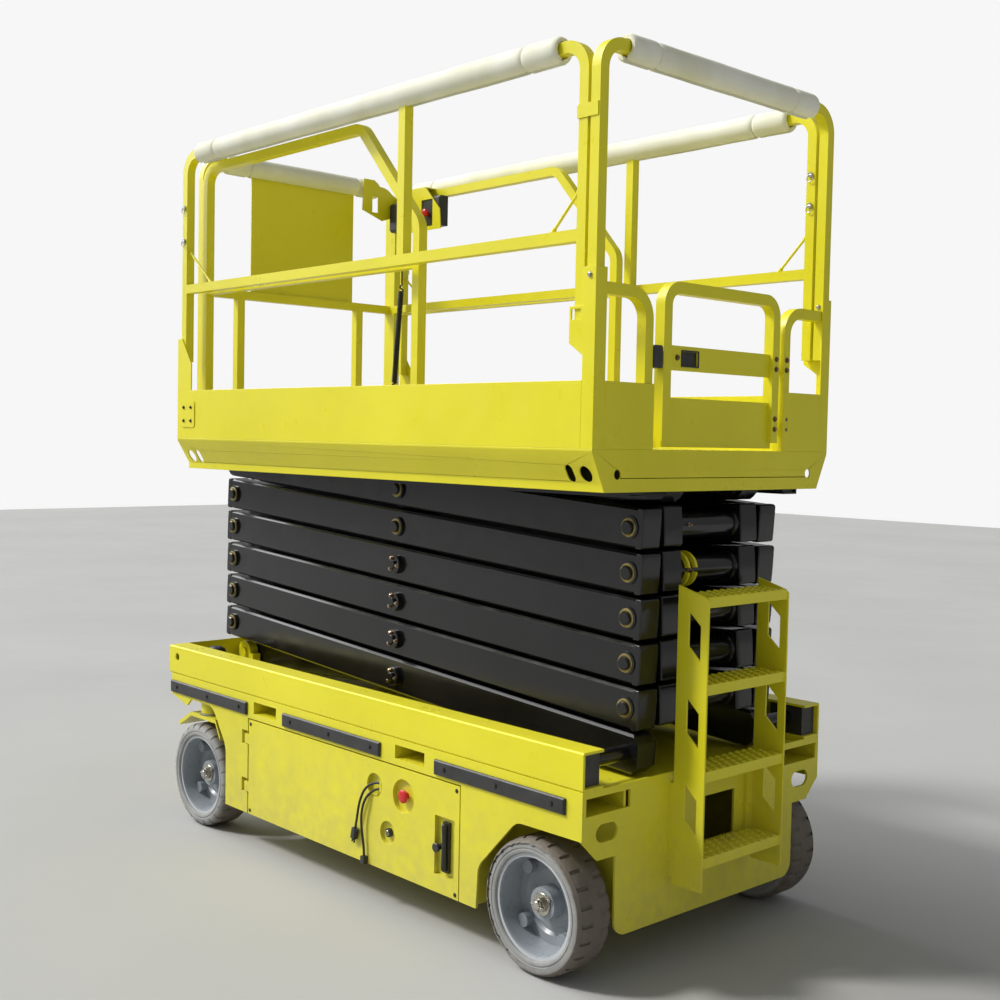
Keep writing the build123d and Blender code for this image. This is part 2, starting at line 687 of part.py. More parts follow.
def build_knuckle(name, side):
    leg_y = (yoke_in - yoke_leg, yoke_in)
    under_z = yoke_top_z - yoke_plate
    with BuildPart() as knuckle:
        top = [(-131.0, yoke_top_z - 57.0), (-98.0, yoke_top_z), (80.0, yoke_top_z), (168.0, yoke_top_z - 50.0)]
        under = [(x, z - yoke_plate) for x, z in reversed(top)]
        side_plate([(front_axle + x, z) for x, z in top + under], (leg_y[0], wheel_mid_y + tyre_width * 0.4))
        round_z(front_axle, wheel_mid_y, (yoke_top_z, king_boss_top - chassis_plate - 2.0), king_pin_radius)
        slab((front_axle - yoke_half, front_axle + yoke_half), leg_y, (arm_low_z, under_z))
        round_y(front_axle, (yoke_in, spindle_end), axle_z, spindle_radius)
        round_y(front_axle, (spindle_end, hub_face_y + stud_length), axle_z, stud_radius)
        round_z(front_axle - track_arm, wheel_mid_y, (yoke_top_z, track_rod_z + eye_height / 2), steer_pin_radius)
        if side > 0:
            # Low arm under the wheel's inner side that the cylinder pushes
            arm_x = front_axle + steer_arm[0]
            arm_y = wheel_mid_y + steer_arm[1]
            with BuildSketch(Plane.XY.offset(arm_low_z)):
                with BuildLine():
                    Polyline((arm_x, arm_y - 18), (front_axle - 20, leg_y[0]), (front_axle - 20, leg_y[1]),
                             (front_axle - yoke_half, leg_y[1]), (arm_x, arm_y + 18), close=True)
                make_face()
                with Locations((arm_x, arm_y)):
                    Circle(18)
            extrude(amount=arm_thick)
        else:
            mirror(about=Plane.XZ, mode=Mode.REPLACE)
    keep(knuckle, name)


build_knuckle("knuckle_left", 1)
build_knuckle("knuckle_right", -1)

with BuildPart() as track_rod:
    rod_x = front_axle - track_arm
    rod_half = wheel_mid_y - steer_pin_radius - 2.0
    eye_z = (track_rod_z - eye_height / 2, track_rod_z + eye_height / 2)
    round_y(rod_x, (-rod_half, rod_half), track_rod_z, track_rod_radius)
    for side in (1, -1):
        round_z(rod_x, side * wheel_mid_y, eye_z, eye_radius)
    for side in (1, -1):
        round_z(rod_x, side * wheel_mid_y, eye_z, steer_pin_radius + shaft_clearance, mode=Mode.SUBTRACT)
keep(track_rod, "track_rod")

# Steering cylinder: the barrel is fixed under the front box, the rod runs out over the left steering arm
cylinder_z = arm_low_z + arm_thick + rod_gap + eye_height / 2
barrel_radius = 28.0
rod_radius = 12.0
steer_stroke = 110.0
toward = Vector(-0.62, 0.784, 0).normalized()
eye_point = Vector(front_axle + steer_arm[0], wheel_mid_y + steer_arm[1], cylinder_z)
barrel_mouth = eye_point - toward * (steer_stroke + 40.0)
barrel_length = 2 * steer_stroke + 50.0
with BuildPart() as steer_barrel:
    base = barrel_mouth - toward * barrel_length
    with BuildSketch(Plane(base, z_dir=toward)):
        Circle(barrel_radius)
    extrude(amount=barrel_length)
    with BuildSketch(Plane(barrel_mouth, z_dir=toward)):
        Circle(rod_radius + shaft_clearance)
    extrude(amount=-(barrel_length - 12.0), mode=Mode.SUBTRACT)
    for along in (30.0, barrel_length - 30.0):
        foot = base + toward * along
        round_z(foot.X, foot.Y, (cylinder_z + barrel_radius - 6.0, front_box_bottom), 20.0)
keep(steer_barrel, "steer_barrel")

with BuildPart() as steer_rod:
    with BuildSketch(Plane(eye_point - toward * (eye_radius - 4.0), z_dir=toward)):
        Circle(rod_radius)
    extrude(amount=-(2 * steer_stroke + 60.0))
    eye_z = (cylinder_z - eye_height / 2, cylinder_z + eye_height / 2)
    round_z(eye_point.X, eye_point.Y, eye_z, eye_radius)
    round_z(eye_point.X, eye_point.Y, (eye_z[0], eye_z[1] + 8.0), steer_pin_radius)
keep(steer_rod, "steer_rod")

# Scissor arms: one pair of outer bars and one tied pair of inner bars on each level
pin_clear = 0.08


def arm_plane(level, rising_forward):
    """Frame of one bar at rest: its origin on the bar's low pin, local x along the bar."""
    low_z = base_pin_z + (level - 1) * level_pitch
    if rising_forward:
        return Plane((rear_pin_x, 0, low_z), x_dir=(pin_span, 0, level_pitch), z_dir=(0, -1, 0))
    return Plane((front_pin_x, 0, low_z), x_dir=(-pin_span, 0, level_pitch), z_dir=(0, 1, 0))


def bar_outline(low_cut, high_cut):
    """Side view of one bar, with the corners of its low and high ends cut."""
    low, high = -arm_overhang, arm_length + arm_overhang
    half = arm_height / 2
    with BuildLine() as outline:
        Polyline((low + low_cut, -half), (high - high_cut, -half), (high, -half + high_cut), (high, half - high_cut),
                 (high - high_cut, half), (low + low_cut, half), (low, half - low_cut), (low, -half + low_cut),
                 close=True)
    make_face(outline.edges())


def ease_long_edges(arm):
    """Take the sharp corners off the four long edges of a bar."""
    chamfer(arm.edges().filter_by(lambda edge: edge.length > pin_span / 2), length=arm_edge)


def pin_points(level, rising_forward):
    """World X and Z of a bar's low, middle and high pins at rest."""
    low_z = base_pin_z + (level - 1) * level_pitch
    ends = (rear_pin_x, front_pin_x) if rising_forward else (front_pin_x, rear_pin_x)
    middle = (front_pin_x + rear_pin_x) / 2
    return [(ends[0], low_z), (middle, low_z + level_pitch / 2), (ends[1], low_z + level_pitch)]


def build_outer(level):
    with BuildPart() as arm:
        plane = arm_plane(level, True)
        with BuildSketch(plane.offset(-outer_arm_out)):
            bar_outline(arm_chamfer, arm_chamfer)
        extrude(amount=outer_arm_width)
        ease_long_edges(arm)
        low, middle, high = pin_points(level, True)
        pins = [middle, high]
        if level > 1:
            pins.append(low)
        reach = inner_arm_y + 4.0
        for x, z in pins:
            inner_end = reach
            if level == levels and (x, z) == high:
                inner_end = outer_arm_y - 46.0
            round_y(x, (inner_end, outer_arm_y), z, pin_radius)
        for x, z in (middle, high):
            round_y(x, (outer_arm_out, outer_arm_out + pin_boss), z, pin_boss_radius)
        if level == 1:
            round_y(low[0], (outer_arm_out, skin_inner - 20.0), low[1], pin_radius)
        else:
            round_y(low[0], (outer_arm_out, outer_arm_out + pin_boss / 2), low[1], pin_boss_radius)
        mirror(about=Plane.XZ)
    keep(arm, f"outer_arms_{level}")


def build_inner(level):
    with BuildPart() as arm:
        plane = arm_plane(level, False)
        with BuildSketch(plane.offset(inner_arm_y)):
            bar_outline(inner_front_chamfer, arm_chamfer)
        extrude(amount=inner_arm_width)
        ease_long_edges(arm)
        for x, z in pin_points(level, False):
            round_y(x, (inner_arm_y, inner_arm_out), z, pin_radius + pin_clear, mode=Mode.SUBTRACT)
        mirror(about=Plane.XZ)
        low, middle, high = pin_points(level, False)
        for x, z in (low, high):
            round_y(x, (-inner_arm_y, inner_arm_y), z, cross_tube_radius)
        if level == 1:
            # Crank plates for the head of the lift cylinder
            crank_y = (inner_arm_y - crank_plate, inner_arm_y)
            root_x = front_pin_x - lift_head_share * pin_span
            root_z = base_pin_z + lift_head_share * level_pitch - 30.0
            crank = [(root_x - 75, root_z), (root_x + 75, root_z), (lift_head.X + 30, lift_head.Z + 30),
                     (lift_head.X - 30, lift_head.Z + 30)]
            side_plate(crank, crank_y)
            side_plate(crank, (-crank_y[1], -crank_y[0]))
            for side in (1, -1):
                round_y(lift_head.X, (side * (lift_head_half + 6.0), side * crank_y[0]), lift_head.Z, lift_pin_radius)
    keep(arm, f"inner_arms_{level}")


for level in range(1, levels + 1):
    build_outer(level)
    build_inner(level)

# Slide blocks: the lowest pair run in the chassis channels, the highest pair under the deck
slide_play = 0.6
with BuildPart() as slider_bottom:
    low_z = rail_bottom_z + chassis_plate + slide_play
    high_z = rail_top_z - chassis_plate - slide_play
    slab((rear_pin_x - slider_length / 2, rear_pin_x + slider_length / 2),
         (chassis_half_width - rail_flange + 4.0, skin_inner - 4.0), (low_z, high_z))
    round_y(rear_pin_x, (flange_in, skin_inner), base_pin_z, pin_radius + pin_clear, mode=Mode.SUBTRACT)
    mirror(about=Plane.XZ)
keep(slider_bottom, "slider_bottom")

channel_low_z = top_pin_z - top_rail_beam / 2
channel_high_z = top_pin_z + top_rail_beam / 2
channel_width = 66.0
with BuildPart() as slider_top:
    slab((rear_pin_x - slider_length / 2, rear_pin_x + slider_length / 2),
         (top_rail_y + 4.0, top_rail_y + channel_width - sheet - 4.0),
         (channel_low_z + sheet + slide_play, channel_high_z - sheet - slide_play))
    round_y(rear_pin_x, (inner_arm_y + 4.0, top_rail_y + 4.0), top_pin_z, pin_radius)
    mirror(about=Plane.XZ)
keep(slider_top, "slider_top")

# Lift cylinder: its foot on the chassis deck, its head between crank plates on the lowest inner arms
with BuildPart() as lift_barrel:
    mouth = lift_foot + lift_line * (lift_length - lift_neck)
    with BuildSketch(Plane(mouth, z_dir=lift_line)):
        Circle(lift_barrel_radius)
    extrude(amount=-(lift_length - lift_neck - lift_pin_radius - 10.0))
    round_y(lift_foot.X, (-lift_eye_half, lift_eye_half), lift_foot.Z, lift_eye_radius)
    with BuildSketch(Plane(mouth, z_dir=lift_line)):
        Circle(lift_rod_radius + shaft_clearance)
    extrude(amount=-lift_bore_depth, mode=Mode.SUBTRACT)
    round_y(lift_foot.X, (-lift_eye_half, lift_eye_half), lift_foot.Z, lift_pin_radius + shaft_clearance,
            mode=Mode.SUBTRACT)
keep(lift_barrel, "lift_barrel")

with BuildPart() as lift_rod:
    with BuildSketch(Plane(lift_head - lift_line * (lift_eye_radius - 4.0), z_dir=lift_line)):
        Circle(lift_rod_radius)
    extrude(amount=-(lift_bore_depth - 10.0))
    round_y(lift_head.X, (-lift_head_half, lift_head_half), lift_head.Z, lift_eye_radius)
    round_y(lift_head.X, (-lift_head_half, lift_head_half), lift_head.Z, lift_pin_radius, mode=Mode.SUBTRACT)
keep(lift_rod, "lift_rod")

# Platform: floor with folded skirts and pivot ears, slide channels under it, and toe boards
ear_in = outer_arm_y - 44.0
ear_out = outer_arm_y - 6.0
skirt_hole_z = skirt_bottom_z + 48.0
skirt_hole_radius = 21.0
end_hole_radius = 13.5
with BuildPart() as deck:
    floor_under = floor_top_z - floor_sheet
    half = platform_half_width
    low_half = skirt_bottom_half
    slab((platform_rear, platform_front), (-half, half), (floor_under, floor_top_z))
    with BuildSketch(Plane.YZ.offset(platform_rear)):
        with BuildLine():
            Polyline((half, floor_under), (low_half, skirt_bottom_z + skirt_lip), (low_half, skirt_bottom_z),
                     (low_half - sheet, skirt_bottom_z), (low_half - sheet, skirt_bottom_z + skirt_lip),
                     (half - sheet, floor_under), close=True)
        make_face()
        mirror(about=Plane.YZ)
    extrude(amount=platform_length)
    end_plate([(-half, floor_under), (half, floor_under), (low_half, skirt_bottom_z), (-low_half, skirt_bottom_z)],
              (platform_rear, platform_rear + sheet))
    # Lifting and lashing holes in the skirts and the end
    for x in (platform_rear + 53.5, platform_front - 53.5):
        for side in (1, -1):
            round_y(x, (side * (low_half - 20.0), side * half), skirt_hole_z, skirt_hole_radius, mode=Mode.SUBTRACT)
    for side in (1, -1):
        with BuildSketch(Plane.XZ.offset(-side * half)):
            with Locations((platform_rear + 111.5, skirt_hole_z), (platform_front - 106.5, skirt_hole_z)):
                SlotOverall(46, 28, rotation=90)
        extrude(amount=side * (half - low_half + 20.0), mode=Mode.SUBTRACT)
    with BuildSketch(Plane.YZ.offset(platform_rear)):
        with Locations((low_half - 50.0, skirt_hole_z), (50.0 - low_half, skirt_hole_z)):
            Circle(end_hole_radius)
    extrude(amount=sheet, mode=Mode.SUBTRACT)
    for side in (1, -1):
        ear = sorted((side * ear_in, side * ear_out))
        slab((front_pin_x - 48.0, front_pin_x + 28.0), ear, (top_pin_z, floor_under))
        round_y(front_pin_x, ear, top_pin_z, 48.0)
        round_y(front_pin_x, ear, top_pin_z, pin_radius + pin_clear, mode=Mode.SUBTRACT)
keep(deck, "deck")

# Slide channels hung under the floor for the highest inner arms
with BuildPart() as top_channels:
    highest_angle = rest_angle + radians(57)
    channel_x = (platform_rear + sheet, front_pin_x - arm_length * cos(highest_angle) + 80.0)
    channel_y = (top_rail_y, top_rail_y + channel_width)
    slab_pair(channel_x, channel_y, (channel_low_z, channel_high_z))
    slab_pair(channel_x, (channel_y[0], channel_y[1] - sheet), (channel_low_z + sheet, channel_high_z - sheet),
              mode=Mode.SUBTRACT)
    slab_pair(channel_x, (channel_y[1] - sheet, channel_y[1]), (channel_high_z, floor_under))
keep(top_channels, "top_channels")

with BuildPart() as toe_boards:
    post_end = platform_rear + corner_post_width
    toe_z = (floor_top_z, toe_top_z)
    end_x = (platform_rear, platform_rear + sheet)
    slab_pair((post_end, platform_front), (half - sheet, half), toe_z)
    slab(end_x, (gate_left_y + 40.0, half - corner_post_width), toe_z)
    slab(end_x, (corner_post_width - half, gate_right_y - 20.0), toe_z)
keep(toe_boards, "toe_boards")

# Corner posts: folded plates that carry the folding rails in sockets
with BuildPart() as corner_posts:
    lobe = 50.0
    side_plate(
        [(platform_rear, floor_top_z), (post_end, floor_top_z), (post_end, socket_low_z - 33.0),
         (post_end + lobe, socket_low_z), (post_end + lobe, socket_high_z), (post_end, socket_high_z),
         (post_end, corner_post_top_z), (platform_rear, corner_post_top_z)],
        (half - sheet, half),
    )
    slab((post_end + 8.0, post_end + lobe - 7.0), (half - sheet, half), (socket_high_z - 36.0, socket_high_z - 8.0),
         mode=Mode.SUBTRACT)
    slab(end_x, (half - corner_post_width, half), (floor_top_z, corner_post_top_z))
    side_plate(
        [(platform_front, toe_top_z), (platform_front - 100.0, toe_top_z), (platform_front - 100.0, socket_low_z),
         (platform_front - 30.0, socket_high_z), (platform_front, socket_high_z)],
        (half - sheet, half),
    )
    mirror(about=Plane.XZ)
keep(corner_posts, "corner_posts")

# Guard rails: bent square tubes, folded down on the corner posts
rail_y = platform_half_width - sheet - seat_gap - rail_tube / 2
rear_post_x = platform_rear + corner_post_width + 4.0 + rail_tube / 2
front_post_x = platform_front - 19.0 - rail_tube / 2
end_post_x = platform_rear + sheet + seat_gap + rail_tube / 2
mid_post_x = platform_rear + platform_length * 0.381
post_foot_z = socket_low_z + 10.0
gate_leaf_x = (end_post_x + rail_tube / 2, end_post_x + rail_tube / 2 + hinge_leaf_thickness)
gate_hinge_x = end_post_x + rail_tube / 2 + hinge_barrel_radius + hinge_play
gate_hinge_y = (gate_right_y - loop_inner_y + rail_tube) / 2
end_y = rail_y
with BuildPart() as guard_rails:
    bent_tube([(rear_post_x, rail_y, post_foot_z), (rear_post_x, rail_y, top_rail_z),
               (front_post_x, rail_y, top_rail_z), (front_post_x, rail_y, post_foot_z)], rail_bend, rail_tube)
    slab((rear_post_x, front_post_x), (rail_y - rail_tube / 2, rail_y + rail_tube / 2),
         (mid_rail_z - rail_tube / 2, mid_rail_z + rail_tube / 2))
    slab((mid_post_x - rail_tube / 2, mid_post_x + rail_tube / 2), (rail_y - rail_tube / 2, rail_y + rail_tube / 2),
         (mid_rail_z, top_rail_z))
    mirror(about=Plane.XZ)
    bent_tube([(end_post_x, end_y, post_foot_z), (end_post_x, end_y, top_rail_z), (end_post_x, -end_y, top_rail_z),
               (end_post_x, -end_y, post_foot_z)], rail_bend, rail_tube)
    loop_z = loop_top_z - rail_tube / 2
    loop_y = loop_inner_y - rail_tube / 2
    for side in (1, -1):
        bent_tube([(end_post_x, side * end_y, loop_z), (end_post_x, side * loop_y, loop_z),
                   (end_post_x, side * loop_y, floor_top_z)], rail_bend, rail_tube)
    # Fixed halves of the gate hinges on the right loop, with their pins
    for z in gate_hinge_z:
        slab(gate_leaf_x, (-loop_inner_y, gate_hinge_y - hinge_barrel_radius - hinge_play),
             (z - hinge_half, z + hinge_half))
        slab(gate_leaf_x, (gate_hinge_y - hinge_barrel_radius - hinge_play, gate_hinge_y),
             (z - hinge_half, z - hinge_play))
        round_z(gate_hinge_x, gate_hinge_y, (z - hinge_half, z - hinge_play), hinge_barrel_radius)
        round_z(gate_hinge_x, gate_hinge_y, (z - hinge_half, z + hinge_half), hinge_pin_radius)
keep(guard_rails, "guard_rails")

# Foam sleeves on the top rails
with BuildPart() as rail_pads:
    bore = rail_tube + 2 * seat_gap
    pad_ends = rail_bend + rail_tube / 2 + 6.0
    pad_x = (rear_post_x + pad_ends, front_post_x - pad_ends)
    with BuildSketch(Plane.YZ.offset(pad_x[0])):
        with Locations((rail_y, top_rail_z), (-rail_y, top_rail_z)):
            Circle(pad_radius)
            Rectangle(bore, bore, mode=Mode.SUBTRACT)
    extrude(amount=pad_x[1] - pad_x[0])
    slab_pair((mid_post_x - bore / 2, mid_post_x + bore / 2), (rail_y - bore / 2, rail_y + bore / 2),
              (top_rail_z - pad_radius, top_rail_z), mode=Mode.SUBTRACT)
    pad_y = end_y - pad_ends
    with BuildSketch(Plane.XZ.offset(-pad_y)):
        with Locations((end_post_x, top_rail_z)):
            Circle(pad_radius)
            Rectangle(bore, bore, mode=Mode.SUBTRACT)
    extrude(amount=2 * pad_y)
keep(rail_pads, "rail_pads")

# Entry gate, hinged on its right edge
gate_x = end_post_x + rail_tube / 2 - gate_tube / 2
with BuildPart() as gate:
    left = gate_left_y - gate_tube / 2
    right = gate_right_y + gate_tube / 2
    low = gate_bottom_z + gate_tube / 2
    high = gate_top_z - gate_tube / 2
    bent_tube([(gate_x, left, low), (gate_x, left, high), (gate_x, right, high), (gate_x, right, low)],
              50.0, gate_tube)
    inside_y = (right, left)
    skin = (gate_x - 3.0, gate_x + 3.0)
    slab(skin, inside_y, gate_band)
    slab(skin, inside_y, (gate_bottom_z, gate_panel_top_z))
    window_z = (gate_band[0] + gate_window_margin, gate_band[1] - gate_window_margin)
    slab(skin, gate_window_y, window_z, mode=Mode.SUBTRACT)
    for z in gate_hinge_z:
        slab(gate_leaf_x, (gate_hinge_y, gate_right_y + gate_tube), (z, z + hinge_half))
        round_z(gate_hinge_x, gate_hinge_y, (z, z + hinge_half), hinge_barrel_radius)
        round_z(gate_hinge_x, gate_hinge_y, (z, z + hinge_half), hinge_pin_radius + shaft_clearance,
                mode=Mode.SUBTRACT)
keep(gate, "gate")

# Roll-out deck: a second floor on the first, with its own toe boards and rails
ext_rear = platform_front - extension_front_gap - extension_length
ext_front = platform_front - extension_front_gap
ext_floor = floor_top_z + extension_lift
ext_half = extension_half_width
with BuildPart() as extension_deck:
    slab((ext_rear, ext_front), (-ext_half, ext_half), (ext_floor, ext_floor + sheet))
    slab_pair((ext_rear, ext_front), (ext_half - sheet, ext_half), (ext_floor, toe_top_z - 20.0))
    slab((ext_front - sheet, ext_front), (-ext_half, ext_half), (ext_floor, toe_top_z))
    slab_pair((ext_rear + 20.0, ext_front - 20.0), (ext_half - 60.0, ext_half - 30.0),
              (floor_top_z + seat_gap, ext_floor))
keep(extension_deck, "extension_deck")

ext_rail_y = ext_half - sheet - rail_tube / 2
ext_post_x = ext_rear + 60.0
ext_front_x = ext_front - sheet - rail_tube / 2
ext_top_z = top_rail_z - rail_tube - 8.0
ext_foot_z = ext_floor + sheet
knee_drop = 338.0
knee_run = 300.0
panel_left_y = 243.0
panel_right_y = -247.0
box_rear = ext_front - 413.0
box_front = box_rear + 320.0
box_out = -ext_rail_y + rail_tube / 2 + seat_gap
box_in = box_out + 48.0
box_low = ext_top_z - 140.0
box_high = ext_top_z - 20.0
cover = 4.0
with BuildPart() as extension_rails:
    for side in (1, -1):
        y = side * ext_rail_y
        bent_tube([(ext_post_x, y, ext_foot_z), (ext_post_x, y, ext_top_z - knee_drop),
                   (ext_post_x + knee_run, y, ext_top_z), (ext_front_x - rail_tube, y, ext_top_z),
                   (ext_front_x - rail_tube, y, ext_foot_z)], 60.0, rail_tube)
        low_y = y - rail_tube / 2
        slab((ext_post_x, ext_front_x - rail_tube), (low_y, low_y + rail_tube),
             (mid_rail_z - rail_tube / 2, mid_rail_z + rail_tube / 2))
    bent_tube([(ext_front_x, ext_rail_y, ext_foot_z), (ext_front_x, ext_rail_y, top_rail_z),
               (ext_front_x, -ext_rail_y, top_rail_z), (ext_front_x, -ext_rail_y, ext_foot_z)], rail_bend, rail_tube)
    front_x = (ext_front_x - rail_tube / 2, ext_front_x + rail_tube / 2)
    slab(front_x, (-ext_rail_y, ext_rail_y), (mid_rail_z - rail_tube / 2, mid_rail_z + rail_tube / 2))
    for y in (panel_left_y + 50.0, panel_right_y - 30.0):
        slab(front_x, (y - rail_tube / 2, y + rail_tube / 2), (ext_foot_z, mid_rail_z))
    slab((ext_front_x - 2.0, ext_front_x + 2.0), (panel_right_y, panel_left_y), (mid_rail_z, top_rail_z))
    # Guard over the control box, and a hanger bracket with a window at its front
    cover_y = (box_in + seat_gap, box_in + seat_gap + cover)
    cover_x = (box_rear + 83.0, box_rear + 180.0)
    cover_top = ext_top_z + rail_tube / 2 + cover
    side_plate(
        [(cover_x[1], box_low - 16.0), (cover_x[1], cover_top), (cover_x[0], cover_top),
         (box_rear - 9.0, box_high - 56.0), (box_rear - 17.0, box_low - 16.0)],
        cover_y,
    )
    slab((box_rear + 35.0, box_rear + 106.0), cover_y, (box_low, box_high - 12.0), mode=Mode.SUBTRACT)
    slab(cover_x, (-ext_rail_y, cover_y[1]), (cover_top - cover, cover_top))
    hanger_x = ext_front_x - rail_tube * 1.5
    end_plate(
        [(-ext_rail_y, box_high - 42.0), (box_out + 69.0, box_low + 48.0), (box_out + 172.0, box_low + 83.0),
         (box_out + 166.0, top_rail_z + 32.0), (box_out + 112.0, top_rail_z + 32.0),
         (box_out + 85.0, top_rail_z + 10.0), (-ext_rail_y, ext_top_z + 10.0)],
        (hanger_x, hanger_x + cover),
    )
    slab((hanger_x, hanger_x + cover), (box_out + 92.0, box_out + 122.0), (box_low + 79.0, box_low + 144.0),
         mode=Mode.SUBTRACT)
keep(extension_rails, "extension_rails")

with BuildPart() as front_pad:
    pad_y = ext_rail_y - rail_bend - rail_tube / 2
    with BuildSketch(Plane.XZ.offset(-pad_y)):
        with Locations((ext_front_x, top_rail_z)):
            Circle(pad_radius)
            Rectangle(bore, bore, mode=Mode.SUBTRACT)
    extrude(amount=2 * pad_y)
    slab((ext_front_x - 2.5, ext_front_x + 2.5), (panel_right_y - 0.5, panel_left_y + 0.5),
         (top_rail_z - pad_radius, top_rail_z), mode=Mode.SUBTRACT)
keep(front_pad, "front_pad")

# Control box hung on the right rail of the roll-out deck, with its curly lead
lead_x = box_front - 58.0
lead_y = (box_out + box_in) / 2
gland_z = box_low - 24.0
with BuildPart() as control_box:
    slab((box_rear, box_front), (box_out, box_in), (box_low, box_high))
    chamfer(control_box.edges().filter_by(Axis.X).group_by(Axis.Y)[-1], length=10.0)
    round_z(lead_x, lead_y, (gland_z, box_low), 12.0)
keep(control_box, "control_box")

with BuildPart() as control_button:
    button_x = box_rear + 70.0
    button_z = box_low + 52.0
    round_y(button_x, (box_in, box_in + 14.0), button_z, 10.0)
    round_y(button_x, (box_in + 14.0, box_in + 24.0), button_z, 17.0)
keep(control_button, "control_button")

lead_socket_z = ext_floor + sheet + 30.0
socket_x = lead_x + 45.0
with BuildPart() as lead_socket:
    slab((socket_x - 22.0, socket_x + 22.0), (-ext_half + sheet, lead_y + 18.0), (ext_floor + sheet, lead_socket_z))
keep(lead_socket, "lead_socket")

coil_radius = 13.0
lead_radius = 4.0
lead_run = gland_z - lead_socket_z
coil_top = Vector(lead_x, lead_y, gland_z - lead_run * 0.22)
coil_low = Vector(socket_x, lead_y, gland_z - lead_run * 0.8)
with BuildPart() as control_lead:
    round_z(lead_x, lead_y, (coil_top.Z, gland_z), lead_radius)
    with BuildSketch(Plane(coil_top, z_dir=coil_low - coil_top)):
        Circle(coil_radius)
    extrude(amount=(coil_low - coil_top).length)
    round_z(socket_x, lead_y, (lead_socket_z, coil_low.Z), lead_radius)
keep(control_lead, "control_lead")
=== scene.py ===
import json
import math
import random

import bmesh
import bpy
from mathutils import Matrix, Vector


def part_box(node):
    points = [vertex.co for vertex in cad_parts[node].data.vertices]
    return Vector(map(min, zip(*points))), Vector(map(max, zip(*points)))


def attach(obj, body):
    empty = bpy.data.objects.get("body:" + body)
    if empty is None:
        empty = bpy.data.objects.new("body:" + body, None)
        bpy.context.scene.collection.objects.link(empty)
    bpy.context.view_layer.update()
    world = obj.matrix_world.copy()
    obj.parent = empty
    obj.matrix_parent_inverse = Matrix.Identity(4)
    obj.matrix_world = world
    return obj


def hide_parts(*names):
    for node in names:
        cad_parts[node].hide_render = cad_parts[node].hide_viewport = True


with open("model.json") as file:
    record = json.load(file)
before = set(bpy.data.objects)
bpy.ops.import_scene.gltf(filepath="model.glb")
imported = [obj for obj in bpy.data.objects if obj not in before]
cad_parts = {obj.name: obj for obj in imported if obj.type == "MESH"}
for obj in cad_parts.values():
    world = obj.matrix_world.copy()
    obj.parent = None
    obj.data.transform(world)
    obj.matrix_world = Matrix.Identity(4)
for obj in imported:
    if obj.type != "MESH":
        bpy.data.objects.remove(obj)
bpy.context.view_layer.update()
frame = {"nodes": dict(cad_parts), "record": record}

nodes = frame["nodes"]

# Chassis weldment: folded and welded steel plate, sprayed in one coat of satin yellow enamel.
# The coat is a little uneven in colour and gloss, has a fine orange peel, and gathers dust near the ground.
mm = 0.001
dust_colour = (0.30, 0.27, 0.20, 1.0)
dust_low, dust_high, dust_left = 0.12, 0.62, 0.06


def fill(tree, socket, value):
    """Link an input to another node's output, or set it to a plain value."""
    if isinstance(value, bpy.types.NodeSocket):
        tree.links.new(value, socket)
    else:
        socket.default_value = value


def add_node(tree, kind, setting=None, **inputs):
    """Add a node, change its settings, and fill its inputs by their names."""
    node = tree.nodes.new(kind)
    for label, value in (setting or {}).items():
        setattr(node, label, value)
    for label, value in inputs.items():
        fill(tree, node.inputs[label.replace("_", " ")], value)
    return node


def add_math(tree, operation, *values, kind="ShaderNodeMath"):
    """Add one step of arithmetic on sockets or numbers, and give its result."""
    node = add_node(tree, kind, {"operation": operation})
    for socket, value in zip(node.inputs, values):
        fill(tree, socket, value)
    return node.outputs["Value"]


def finish(name, colours, rough, patch, grain, bump, metal=0.0, dust=0.0, sheen=0.5):
    """A surface with soft patches of two colours, uneven gloss, a fine grain, and dust towards the ground."""
    material = bpy.data.materials.new(name)
    material.use_nodes = True
    tree = material.node_tree
    shader = tree.nodes["Principled BSDF"]
    shader.inputs["Metallic"].default_value = metal
    shader.inputs["Specular IOR Level"].default_value = sheen
    place = tree.nodes.new("ShaderNodeTexCoord").outputs["Object"]

    def noise(scale, detail):
        return add_node(tree, "ShaderNodeTexNoise", Vector=place, Scale=scale, Detail=detail).outputs["Fac"]

    patches = add_node(tree, "ShaderNodeValToRGB", Fac=noise(patch, 6.0))
    for stop, position, shade in zip(patches.color_ramp.elements, (0.32, 0.68), colours):
        stop.position = position
        stop.color = (*shade, 1.0)
    colour = patches.outputs["Color"]
    gloss = add_node(tree, "ShaderNodeMapRange", Value=noise(patch * 5.0, 4.0), From_Min=0.3, From_Max=0.7,
                     To_Min=rough[0], To_Max=rough[1])
    tree.links.new(gloss.outputs["Result"], shader.inputs["Roughness"])
    if dust:
        height = add_node(tree, "ShaderNodeSeparateXYZ", Vector=place).outputs["Z"]
        low = add_node(tree, "ShaderNodeMapRange", Value=height, From_Min=dust_low, From_Max=dust_high,
                       To_Min=dust, To_Max=dust * dust_left)
        cover = add_math(tree, "MULTIPLY", low.outputs["Result"], noise(23.0, 8.0))
        dusty = add_node(tree, "ShaderNodeMix", {"data_type": "RGBA"}, Factor=cover, A=colour, B=dust_colour)
        colour = dusty.outputs["Result"]
    tree.links.new(colour, shader.inputs["Base Color"])
    relief = add_node(tree, "ShaderNodeBump", Strength=bump, Distance=1.0 * mm, Height=noise(grain, 3.0))
    tree.links.new(relief.outputs["Normal"], shader.inputs["Normal"])
    return material


def paint(material, *names):
    """Give CAD nodes a finish."""
    for name in names:
        nodes[name].data.materials.clear()
        nodes[name].data.materials.append(material)


def nodes_in(slot):
    """The CAD nodes that the record puts in one material slot."""
    return [part["node"] for part in frame["record"]["subparts"] if part["material_slot"] == slot]


